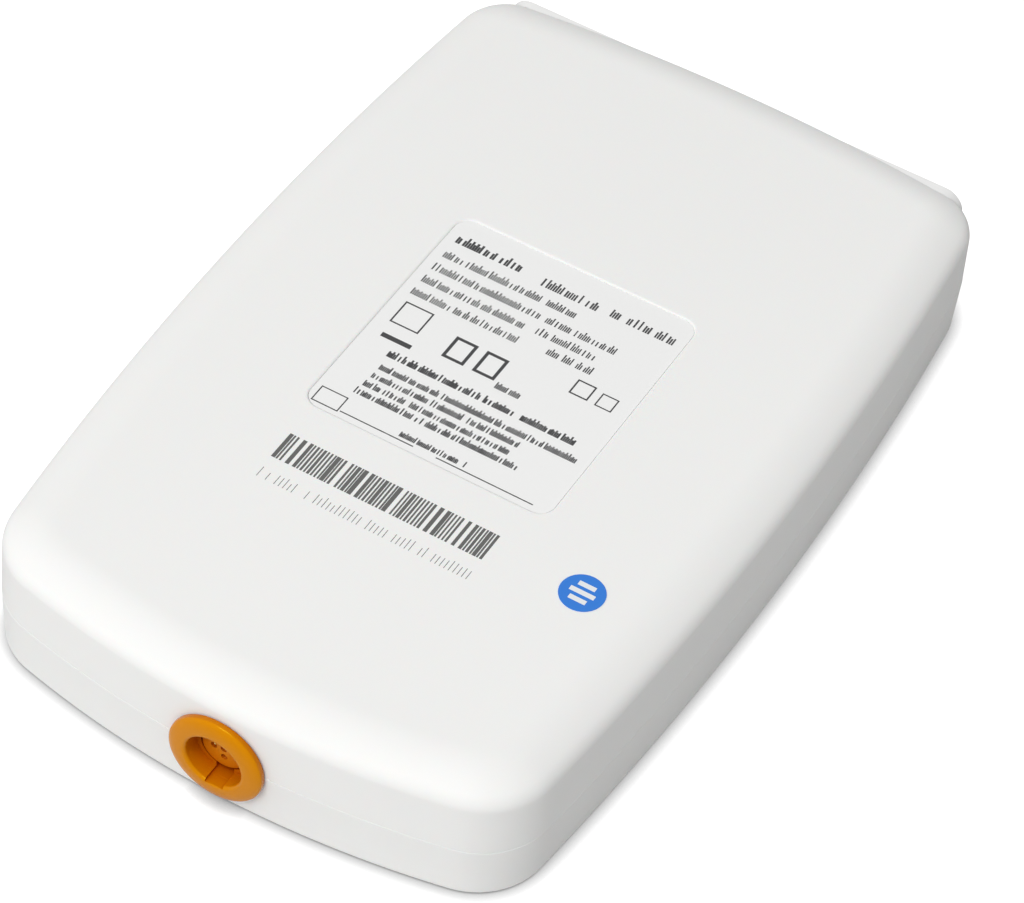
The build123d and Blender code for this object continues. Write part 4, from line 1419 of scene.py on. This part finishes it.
SCRIPT_LINES: tuple[ScriptLine, ...] = (
    ScriptLine(-21.8, -8.1, 20.3, 2.3, 1.4),
    ScriptLine(-4.4, 7.6, 19.7, 2.3, 1.1),
    ScriptLine(9.0, 22.1, 20.0, 2.3, 1.1),
    ScriptLine(-21.8, 4.8, 15.9, 1.9),
    ScriptLine(-21.8, 15.1, 12.3, 1.9),
    ScriptLine(-21.8, -1.0, 8.8, 1.9),
    ScriptLine(0.6, 12.4, 9.1, 1.9),
    ScriptLine(-21.8, -0.2, 5.3, 1.9),
    ScriptLine(4.5, 13.8, 6.0, 1.9),
    ScriptLine(1.3, 6.7, -5.7, 1.7, 1.2),
    ScriptLine(-17.4, 19.6, -9.6, 1.8, 1.4),
    ScriptLine(-16.9, 21.6, -13.0, 1.6, 1.25),
    ScriptLine(-17.0, 12.4, -15.3, 1.6, 1.25),
    ScriptLine(-17.2, 11.5, -17.6, 1.6, 1.25),
    ScriptLine(-17.6, 14.8, -19.8, 1.6, 1.3),
    ScriptLine(-6.7, 7.0, -24.1, 1.4, 1.3),
)
OPEN_BOXES: tuple[OpenBox, ...] = (
    OpenBox(-22.4, -25.9, 5.2, 3.7, 0.22),
    OpenBox(12.4, -0.4, 3.6, 3.6, 0.3),
    OpenBox(17.4, -0.5, 3.2, 3.2, 0.25),
    OpenBox(-21.0, -3.2, 5.6, 5.6, 0.3),
    OpenBox(-9.6, -5.2, 4.3, 5.4, 0.6),
    OpenBox(-3.6, -5.2, 4.3, 5.4, 0.6),
)
LABEL_BARS: tuple[Bar, ...] = (
    Bar(-20.5, -7.0, 5.8, 1.0),
    Bar(-16.9, -25.6, 14.2, 0.22),
    Bar(1.7, -25.6, 18.5, 0.22),
)
CODE_ROWS: tuple[MarkRow, ...] = (
    MarkRow(-21.15, 20.4, y=-37.52, tall=6.04, pitch=1.32, width=0.84, uneven_width=0.64),
    MarkRow(-20.49, 20.2, y=-37.52, tall=6.04, pitch=1.32, width=0.34, keep=0.62, uneven_width=0.1),
    MarkRow(-20.9, 20.4, y=-44.3, tall=2.4, pitch=0.83, width=0.11, keep=0.85, uneven=0.35),
)
NOISE_LENGTH = 2.1 * MM
LABEL_SEED = 11
CODE_SEED = 5
WIDTH_SEED_SHIFT = 7.0
HEIGHT_SEED_SHIFT = 19.0

# Middle and width of each bar on the round sticker, as shares of the sticker's radius
STICKER_BARS: tuple[Pair, ...] = ((0.42, 0.80), (0.0, 1.16), (-0.42, 0.80))
STICKER_BAR_HALF = 0.12


class MarkPrinter:
    """Prints rows of plain marks with Geometry Nodes."""

    def __init__(self) -> None:
        """Builds the node tree once."""
        self.tree = bpy.data.node_groups.new("mark_row", "GeometryNodeTree")
        sockets = {
            "Count": "NodeSocketInt",
            "Pitch": "NodeSocketFloat",
            "Mark Size": "NodeSocketVector",
            "Start": "NodeSocketVector",
            "Keep Share": "NodeSocketFloat",
            "Uneven": "NodeSocketFloat",
            "Uneven Width": "NodeSocketFloat",
            "Gap Level": "NodeSocketFloat",
            "Seed": "NodeSocketInt",
            "Start Seed": "NodeSocketFloat",
            "Ink": "NodeSocketMaterial",
        }
        face = self.tree.interface
        self.inputs = {
            name: face.new_socket(name=name, in_out="INPUT", socket_type=kind).identifier
            for name, kind in sockets.items()
        }
        face.new_socket(name="Geometry", in_out="OUTPUT", socket_type="NodeSocketGeometry")
        graph = Graph(self.tree)
        source = graph.add("NodeGroupInput").outputs
        target = graph.add("NodeGroupOutput")
        step = graph.add("ShaderNodeCombineXYZ", X=source["Pitch"]).outputs[0]
        line = graph.add("GeometryNodeMeshLine", Count=source["Count"],
                         Start_Location=source["Start"], Offset=step)
        kept = graph.add("GeometryNodeDeleteGeometry", Geometry=line.outputs[0],
                         Selection=self._left_out(graph, source))
        marks = graph.add("GeometryNodeInstanceOnPoints", Points=kept.outputs[0],
                          Instance=self._mark(graph, source), Scale=self._unevenness(graph, source))
        real = graph.add("GeometryNodeRealizeInstances", Geometry=marks.outputs[0])
        inked = graph.add("GeometryNodeSetMaterial", Geometry=real.outputs[0], Material=source["Ink"])
        graph.feed(target.inputs[0], inked.outputs[0])

    @staticmethod
    def _left_out(graph: Graph, source: bpy.types.NodeOutputs) -> bpy.types.NodeSocket:
        """Chooses the places without a mark: single ones, and those where the slow noise is low.

        Args:
            graph: The tree's graph.
            source: The group's inputs.

        Returns:
            The socket of the choice.
        """
        chance = graph.add("FunctionNodeRandomValue", {"data_type": "BOOLEAN"},
                           Probability=source["Keep Share"], Seed=source["Seed"])
        absent = graph.add("FunctionNodeBooleanMath", {"operation": "NOT"})
        graph.feed(absent.inputs[0], enabled(chance.outputs)[0])
        spot = graph.add("ShaderNodeSeparateXYZ", Vector=graph.add("GeometryNodeInputPosition").outputs[0])
        along = graph.math("MULTIPLY", spot.outputs[0], 1 / NOISE_LENGTH)
        slow = graph.add("ShaderNodeTexNoise", {"noise_dimensions": "1D"},
                         W=graph.math("ADD", along, source["Start Seed"]), Scale=1.0, Detail=0.0)
        empty = graph.add("FunctionNodeCompare", {"operation": "LESS_THAN"},
                          A=slow.outputs[0], B=source["Gap Level"])
        either = graph.add("FunctionNodeBooleanMath", {"operation": "OR"})
        graph.feed(either.inputs[0], absent.outputs[0])
        graph.feed(either.inputs[1], empty.outputs[0])
        return either.outputs[0]

    @staticmethod
    def _mark(graph: Graph, source: bpy.types.NodeOutputs) -> bpy.types.NodeSocket:
        """Makes one mark that stands on its place with its lower end.

        Args:
            graph: The tree's graph.
            source: The group's inputs.

        Returns:
            The socket of the mark's geometry.
        """
        cube = graph.add("GeometryNodeMeshCube", Size=source["Mark Size"])
        half = graph.add("ShaderNodeVectorMath", {"operation": "MULTIPLY"})
        graph.feed(half.inputs[0], source["Mark Size"])
        graph.feed(half.inputs[1], (0.0, 0.5, 0.0))
        based = graph.add("GeometryNodeTransform", Geometry=cube.outputs[0], Translation=half.outputs[0])
        return based.outputs[0]

    @staticmethod
    def _unevenness(graph: Graph, source: bpy.types.NodeOutputs) -> bpy.types.NodeSocket:
        """Makes the scale by which the marks differ in width and height.

        Args:
            graph: The tree's graph.
            source: The group's inputs.

        Returns:
            The socket of the scale.
        """
        sizes = []
        for name, shift in (("Uneven Width", WIDTH_SEED_SHIFT), ("Uneven", HEIGHT_SEED_SHIFT)):
            seed = graph.math("ADD", source["Seed"], shift)
            spread = graph.add("FunctionNodeRandomValue", {"data_type": "FLOAT"}, Seed=seed)
            least, most = enabled(spread.inputs)[:2]
            graph.feed(least, graph.math("SUBTRACT", 1.0, source[name]))
            graph.feed(most, 1.0)
            sizes.append(enabled(spread.outputs)[0])
        return graph.add("ShaderNodeCombineXYZ", X=sizes[0], Y=sizes[1], Z=1.0).outputs[0]

    def printed(
        self, name: str, row: MarkRow, z: float, thickness: float, ink: bpy.types.Material, seed: int
    ) -> bpy.types.Object:
        """Prints one row.

        Args:
            name: Name of the printed object.
            row: What to print.
            z: Height of the surface that is printed on.
            thickness: Thickness of the ink.
            ink: The ink's material.
            seed: Seed of the random gaps.

        Returns:
            The row as a plain mesh.
        """
        piece = bpy.data.objects.new(name, bpy.data.meshes.new(name))
        bpy.context.scene.collection.objects.link(piece)
        modifier = piece.modifiers.new("marks", "NODES")
        modifier.node_group = self.tree
        values = {
            "Count": row.count,
            "Pitch": row.pitch * MM,
            "Mark Size": (row.width * MM, row.tall * MM, thickness),
            "Start": ((row.left + row.pitch / 2) * MM, (row.y - row.tall / 2) * MM, z + thickness / 2),
            "Keep Share": row.keep,
            "Uneven": row.uneven,
            "Uneven Width": row.uneven_width,
            "Gap Level": row.gaps,
            "Seed": seed,
            "Start Seed": row.noise_start,
            "Ink": ink,
        }
        for key, value in values.items():
            modifier[self.inputs[key]] = value
        bake(piece)
        return piece


def fuse(name: str, pieces: Sequence[bpy.types.Object]) -> bpy.types.Object:
    """Joins several objects into one that has no finish yet.

    Args:
        name: Name of the joined object.
        pieces: The objects, of which none stays by itself.

    Returns:
        The joined object.
    """
    skin = Skin()
    for piece in pieces:
        start = len(skin.points)
        skin.points += [vertex.co.copy() for vertex in piece.data.vertices]
        skin.faces += [tuple(start + index for index in face.vertices) for face in piece.data.polygons]
        bpy.data.objects.remove(piece)
    return skin.made(name)


class Labels:
    """The film in the recess, its plain print, the bar pattern and the round sticker."""

    def __init__(self, sizes: LabelSizes, housing: HousingSizes, shop: Paintshop) -> None:
        """Keeps the sizes.

        Args:
            sizes: Label sizes.
            housing: The housing's sizes.
            shop: The finishes.
        """
        self.sizes = sizes
        self.top = housing.height
        self.shop = shop
        self.printer = MarkPrinter()

    def print_rows(self) -> list[bpy.types.Object]:
        """Prints the label's rows, boxes and lines, and the bar pattern.

        Returns:
            The label's print and the bar pattern.
        """
        film_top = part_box("rating_label")[1][2]
        strokes = [row for line in SCRIPT_LINES for row in line.rows()]
        rows = self._printed("row", strokes, film_top, "label_ink", LABEL_SEED)
        label = fuse("label_print", [*rows, self._boxes_and_bars(film_top)])
        code = fuse("bar_pattern", self._printed("code", CODE_ROWS, self.top, "code_ink", CODE_SEED))
        return [label, code]

    def _printed(
        self, name: str, rows: Sequence[MarkRow], z: float, ink: str, seed: int
    ) -> list[bpy.types.Object]:
        """Prints rows with one ink.

        Args:
            name: What the rows' names start with.
            rows: What to print.
            z: Height of the surface that is printed on.
            ink: Name of the ink's finish.
            seed: Seed of the first row's random gaps.

        Returns:
            The printed rows.
        """
        material = self.shop.materials[ink]
        return [self.printer.printed(f"{name}_{k}", row, z, self.sizes.ink, material, seed + k)
                for k, row in enumerate(rows)]

    def _boxes_and_bars(self, z: float) -> bpy.types.Object:
        """Makes the plain boxes and bars beside the rows.

        Args:
            z: Height of the surface that is printed on.

        Returns:
            All of them as one object.
        """
        skin = Skin()
        for bar in (*LABEL_BARS, *(side for box in OPEN_BOXES for side in box.bars())):
            skin.box((bar.left * MM, bar.low * MM, z),
                     ((bar.left + bar.width) * MM, (bar.low + bar.tall) * MM, z + self.sizes.ink))
        return skin.made("boxes_and_bars")

    def sticker_marks(self) -> bpy.types.Object:
        """Makes three plain white bars on the round sticker.

        Returns:
            The bars as one object.
        """
        low, high = (Vector(corner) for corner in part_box("round_sticker"))
        middle = (low + high) / 2
        radius = (high.x - low.x) / 2
        skin = Skin()
        for share, width in STICKER_BARS:
            skin.block((middle.x, middle.y + share * radius),
                       (width * radius / 2, STICKER_BAR_HALF * radius), high.z, high.z + self.sizes.ink)
        return skin.made("sticker_marks")


# Patient socket


@dataclass(frozen=True)
class SocketSizes:
    """Sizes of the patient socket, as in the part's source."""

    flange_radius: float = 8.78 * MM
    flange_thickness: float = 1.8 * MM
    flange_roll: float = 2.8 * MM
    flange_roll_depth: float = 1.0 * MM
    flange_back_round: float = 0.15 * MM
    flange_front: float = -89.6 * MM
    bore_radius: float = 5.2 * MM
    bore_depth: float = 6.0 * MM
    shoulder_depth: float = 3.5 * MM
    shoulder_radius: float = 4.38 * MM
    mouth_round: float = 0.6 * MM
    barrel_radius: float = 6.5 * MM
    barrel_end: float = -76.0 * MM
    rear_bore: float = 4.65 * MM
    hole_radius: float = 6.65 * MM
    keyway_width: float = 3.4 * MM
    keyway_depth: float = 0.22 * MM
    keyway_length: float = 5.2 * MM
    turn: float = 4.6
    insert_radius: float = 4.05 * MM
    insert_recess: float = 3.4 * MM
    contact_radius: float = 0.55 * MM
    contact_ring: float = 1.85 * MM
    tip_radius: float = 0.42 * MM
    tip_recess: float = 0.70 * MM
    long_tip_recess: float = 0.18 * MM
    tip_length: float = 1.26 * MM
    ring_contacts: int = 4
    insert_edge: float = 0.16 * MM
    insert_gap: float = 0.05 * MM
    axis_hole: float = 0.01 * MM
    past: float = 1.0 * MM


@dataclass(frozen=True)
class TurnedFineness:
    """Numbers of parts that the socket's circles and arcs are divided into."""

    around: int = 160
    insert_around: int = 96
    hole_around: int = 32
    tip_around: int = 24
    flange_roll: int = 16
    mouth: int = 8
    tip: int = 8
    small_edge: int = 5


TURNED = TurnedFineness()


class PatientSocket:
    """The orange keyed socket and the insert in it."""

    def __init__(self, sizes: SocketSizes, axis_z: float) -> None:
        """Keeps the sizes.

        Args:
            sizes: The socket's sizes.
            axis_z: Height of its axis.
        """
        self.sizes = sizes
        self.axis_z = axis_z

    def housing(self) -> bpy.types.Object:
        """Builds the flange, the bore with its keyway and the barrel.

        Returns:
            The socket's housing.
        """
        s = self.sizes
        front, back = s.flange_front, s.flange_front + s.flange_thickness
        bore_end, shoulder = front + s.bore_depth, front + s.shoulder_depth
        mouth = arc_points(
            (s.bore_radius + s.mouth_round, front + s.mouth_round), s.mouth_round, 180, 270, TURNED.mouth
        )
        squash = s.flange_roll_depth / s.flange_roll
        rim = [(s.flange_radius - s.flange_roll + x, front + s.flange_roll_depth + y * squash)
               for x, y in arc_points((0, 0), s.flange_roll, 270, 360, TURNED.flange_roll)]
        soft = s.flange_back_round
        heel = arc_points((s.flange_radius - soft, back - soft), soft, 0, 90, TURNED.small_edge)
        profile = [
            *mouth, *rim, *heel, (s.barrel_radius, back),
            (s.barrel_radius, s.barrel_end), (s.rear_bore, s.barrel_end),
            (s.rear_bore, bore_end), (s.shoulder_radius, bore_end),
            (s.shoulder_radius, shoulder), (s.bore_radius, shoulder),
        ]
        housing = lathe("socket_housing_moulded", profile, self.axis_z, TURNED.around)
        subtract(housing, [self._keyway()])
        smooth(housing)
        return housing

    def _keyway(self) -> bpy.types.Object:
        """Makes the turned keyway at the bottom of the bore.

        Returns:
            The shape to cut out.
        """
        s = self.sizes
        reach, half = s.bore_radius + s.keyway_depth, s.keyway_width / 2
        turn = math.radians(s.turn)
        outline = [
            (x * math.cos(turn) - z * math.sin(turn), self.axis_z + x * math.sin(turn) + z * math.cos(turn))
            for x, z in ((-half, -reach), (half, -reach), (half, 0.0), (-half, 0.0))
        ]
        return prism("keyway", outline, s.flange_front - s.past, s.flange_front + s.keyway_length)

    def contact_places(self) -> list[Point]:
        """Finds the middle of each contact: one on the axis, the others on a ring.

        Returns:
            X and Z of each contact.
        """
        s = self.sizes
        places = [(0.0, self.axis_z)]
        for index in range(s.ring_contacts):
            turn = math.radians(s.turn + 360 / s.ring_contacts * index - 90)
            places.append((s.contact_ring * math.cos(turn), self.axis_z + s.contact_ring * math.sin(turn)))
        return places

    def contact_tips(self) -> bpy.types.Object:
        """Builds the rounded tips of the contacts.

        Returns:
            All tips as one object.
        """
        s = self.sizes
        radius = s.tip_radius
        joined = Skin()
        for index, (x, z) in enumerate(self.contact_places()):
            recess = s.long_tip_recess if index == s.ring_contacts else s.tip_recess
            front = s.flange_front + s.insert_recess + recess
            dome = arc_points((0.0, front + radius), radius, 270, 360, TURNED.tip)[1:]
            skin = Skin()
            rings = []
            for around, y in [*dome, (radius, front + s.tip_length)]:
                circle = circle_points((x, z), around, TURNED.tip_around)
                rings.append(skin.ring(Vector((px, y, pz)) for px, pz in circle))
            for first, second in zip(rings, rings[1:]):
                skin.join(second, first)
            skin.cap(rings[0], up=True)
            skin.cap(rings[-1], up=False)
            joined.add(skin)
        tips = joined.made("contact_tips")
        smooth(tips, TIP_SMOOTH_ANGLE)
        return tips

    def insert(self) -> bpy.types.Object:
        """Builds the insert with a round hole for each contact.

        Returns:
            The insert.
        """
        s = self.sizes
        front, soft = s.flange_front + s.insert_recess, s.insert_edge
        collar = s.flange_front + s.bore_depth + s.insert_gap
        back_radius = s.rear_bore - s.insert_gap
        edge = arc_points((s.insert_radius - soft, front + soft), soft, 270, 360, TURNED.small_edge)
        profile = [
            (s.axis_hole, front), *edge, (s.insert_radius, collar), (back_radius, collar),
            (back_radius, s.barrel_end), (s.axis_hole, s.barrel_end),
        ]
        insert = lathe("socket_insert_moulded", profile, self.axis_z, TURNED.insert_around)
        holes = []
        for index, place in enumerate(self.contact_places()):
            circle = circle_points(place, s.contact_radius + s.insert_gap, TURNED.hole_around)
            holes.append(prism(f"hole_{index}", circle, front - s.past, s.barrel_end + s.past))
        subtract(insert, holes)
        smooth(insert)
        return insert


# Studio


@dataclass(frozen=True)
class CameraSizes:
    """Camera that was fitted to the photograph: its place, its axes and its lens."""

    place: Triple = (0.23042, -0.46351, 0.56843)
    right: Triple = (0.85939, 0.50655, 0.06972)
    up: Triple = (-0.41580, 0.61296, 0.67186)
    back: Triple = (0.29759, -0.60638, 0.73739)
    sensor: float = 36.0
    lens: float = 156.95
    clip: Pair = (0.01, 20.0)


@dataclass(frozen=True)
class SoftLamp:
    """A square soft lamp.

    Attributes:
        place: Where it stands.
        aim: What it faces.
        size: Side of the square.
        watts: Its power.
    """

    place: Triple = (0.0, -1.20, 1.84)
    aim: Triple = (0.0, 0.0, 0.01)
    size: float = 1.0
    watts: float = 29.5


@dataclass(frozen=True)
class SoftLight:
    """Soft light from all round.

    Attributes:
        level: Mean strength of the light.
        right: Share by which the light from the right is weaker, and from the left stronger.
        far: Share by which the light from the far side is weaker, and from the near side stronger.
    """

    level: float = 0.485
    right: float = 0.38
    far: float = 0.2


@dataclass(frozen=True)
class FloorLook:
    """The plain pale floor.

    Attributes:
        reach: Half its side.
        drop: How far it lies under the unit.
        grey: Its colour to the lamps and in reflections.
        seen_grey: Its colour to the camera, where nothing is near.
        glow: White that it adds to the camera's view, where nothing is near.
        shadow: How far from the unit the painted shadow reaches.
        samples: Rays that look for what is near.
    """

    reach: float = 3.0
    drop: float = 0.02 * MM
    grey: Triple = (0.67, 0.67, 0.67)
    seen_grey: Triple = (0.42, 0.42, 0.42)
    glow: float = 0.93
    shadow: float = 3.8 * MM
    samples: int = 16


class Studio:
    """Camera, lamp, floor and surroundings."""

    def build(self) -> None:
        """Sets up the whole studio."""
        bpy.context.scene.view_settings.view_transform = "Standard"
        self.camera(CameraSizes())
        self.floor(FloorLook())
        self.surroundings(SoftLight())
        self.lamp("key", SoftLamp())

    def camera(self, sizes: CameraSizes) -> None:
        """Sets the scene's camera.

        Args:
            sizes: The camera's place and lens.
        """
        data = bpy.data.cameras.new("camera")
        data.sensor_width = sizes.sensor
        data.lens = sizes.lens
        data.clip_start, data.clip_end = sizes.clip
        camera = bpy.data.objects.new("camera", data)
        turned = Matrix((sizes.right, sizes.up, sizes.back)).transposed().to_4x4()
        camera.matrix_world = Matrix.Translation(sizes.place) @ turned
        bpy.context.scene.collection.objects.link(camera)
        bpy.context.scene.camera = camera

    def lamp(self, name: str, sizes: SoftLamp) -> None:
        """Adds a lamp.

        Args:
            name: The lamp's name.
            sizes: Its place, size and power.
        """
        data = bpy.data.lights.new(name, "AREA")
        data.shape = "SQUARE"
        data.size = sizes.size
        data.energy = sizes.watts
        lamp = bpy.data.objects.new(name, data)
        lamp.location = sizes.place
        lamp.rotation_mode = "QUATERNION"
        lamp.rotation_quaternion = (Vector(sizes.aim) - Vector(sizes.place)).to_track_quat("-Z", "Y")
        bpy.context.scene.collection.objects.link(lamp)

    def floor(self, look: FloorLook) -> None:
        """Lays the floor under the unit.

        Args:
            look: The floor's size and looks.
        """
        skin = Skin()
        corners = ((-1, -1), (1, -1), (1, 1), (-1, 1))
        ring = skin.ring(Vector((x * look.reach, y * look.reach, -look.drop)) for x, y in corners)
        skin.cap(ring, up=True)
        floor = skin.made("floor")
        floor.data.materials.append(self._floor_material(look))

    def _floor_material(self, look: FloorLook) -> bpy.types.Material:
        """Makes a floor that the camera sees as white, with the unit's real shadow and, near the unit, a
        painted shadow from an ambient occlusion mask.

        Args:
            look: The floor's looks.

        Returns:
            The material.
        """
        material = bpy.data.materials.new("floor")
        material.use_nodes = True
        graph = Graph(material.node_tree)
        seen = graph.add("ShaderNodeLightPath").outputs["Is Camera Ray"]
        # Painted shadow: an ambient occlusion mask darkens the colour and glow that the camera sees near
        # the unit.
        near = graph.add("ShaderNodeAmbientOcclusion", {"samples": look.samples}, Distance=look.shadow)
        shade = near.outputs["AO"]
        colour = graph.mix(seen, look.grey, graph.mix(shade, BLACK, look.seen_grey))
        glow = graph.math("MULTIPLY", seen, graph.math("MULTIPLY", shade, look.glow))
        both = graph.add("ShaderNodeAddShader")
        graph.feed(both.inputs[0], graph.add("ShaderNodeBsdfDiffuse", Color=colour).outputs[0])
        graph.feed(both.inputs[1], graph.add("ShaderNodeEmission", Color=WHITE, Strength=glow).outputs[0])
        output = graph.add("ShaderNodeOutputMaterial")
        graph.feed(output.inputs["Surface"], both.outputs[0])
        return material

    def surroundings(self, light: SoftLight) -> None:
        """Lights the scene softly and shows white to the camera, in gloss and through glass.

        Args:
            light: The light's strength from each side.
        """
        world = bpy.data.worlds.new("studio")
        world.use_nodes = True
        graph = Graph(world.node_tree)
        path = graph.add("ShaderNodeLightPath").outputs
        direct = graph.math("MAXIMUM", path["Is Camera Ray"], path["Is Glossy Ray"])
        seen = graph.math("MAXIMUM", direct, path["Is Transmission Ray"])
        direction = graph.add("ShaderNodeTexCoord").outputs["Generated"]
        along = graph.add("ShaderNodeSeparateXYZ", Vector=direction).outputs
        strength = light.level
        for axis, share in zip(along, (light.right, light.far)):
            less = graph.math("MULTIPLY", axis, light.level * share)
            strength = graph.math("SUBTRACT", strength, less)
        mixed = graph.add("ShaderNodeMixShader", Fac=seen)
        for socket, power in zip(mixed.inputs[1:], (strength, 1.0)):
            shader = graph.add("ShaderNodeBackground", Color=WHITE, Strength=power)
            graph.feed(socket, shader.outputs[0])
        output = graph.add("ShaderNodeOutputWorld")
        graph.feed(output.inputs["Surface"], mixed.outputs[0])
        bpy.context.scene.world = world


# The unit


def note(piece: bpy.types.Object) -> None:
    """Reports a finished piece."""
    log.info("%s: %d faces", piece.name, len(piece.data.polygons))


def own_piece(
    shop: Paintshop, piece: bpy.types.Object, slot: str, stands_for: str | None = None,
) -> None:
    """Finishes an own piece and ties it to the frame.

    Args:
        shop: The finishes.
        piece: The mesh object.
        slot: Name of its finish.
        stands_for: CAD node that it replaces, if any.
    """
    shop.coat(piece, slot)
    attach(piece, "root")
    if stands_for:
        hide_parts(stands_for)
    note(piece)


def dress_nodes(shop: Paintshop, skipped: set[str]) -> None:
    """Gives each CAD node that stays its own finish.

    Args:
        shop: The finishes.
        skipped: Nodes that own pieces stand for.
    """
    for part in frame["record"]["subparts"]:
        node = part["node"]
        if node in skipped:
            continue
        piece = frame["nodes"][node]
        shop.coat(piece, part["material_slot"])
        note(piece)


def main() -> None:
    """Builds the unit and the studio."""
    logging.basicConfig(level=logging.INFO, format="%(name)s %(message)s")
    shop = Paintshop()
    housing = HousingSizes()
    label_sizes = LabelSizes()
    socket_sizes = SocketSizes()
    covers = Covers(housing, label_sizes, socket_sizes)
    own_piece(shop, covers.back(), "cover_plastic", "back_cover")
    own_piece(shop, covers.front(), "cover_plastic", "front_cover")
    socket = PatientSocket(socket_sizes, housing.seam)
    own_piece(shop, socket.housing(), "socket_plastic", "socket_housing")
    own_piece(shop, socket.insert(), "insert_plastic", "socket_insert")
    own_piece(shop, socket.contact_tips(), "gold_contact")
    labels = Labels(label_sizes, housing, shop)
    label_print, bar_pattern = labels.print_rows()
    own_piece(shop, label_print, "label_ink")
    own_piece(shop, bar_pattern, "code_ink")
    own_piece(shop, labels.sticker_marks(), "sticker_white")
    dress_nodes(shop, {"back_cover", "front_cover", "socket_housing", "socket_insert"})
    Studio().build()


if __name__ == "__main__":
    main()
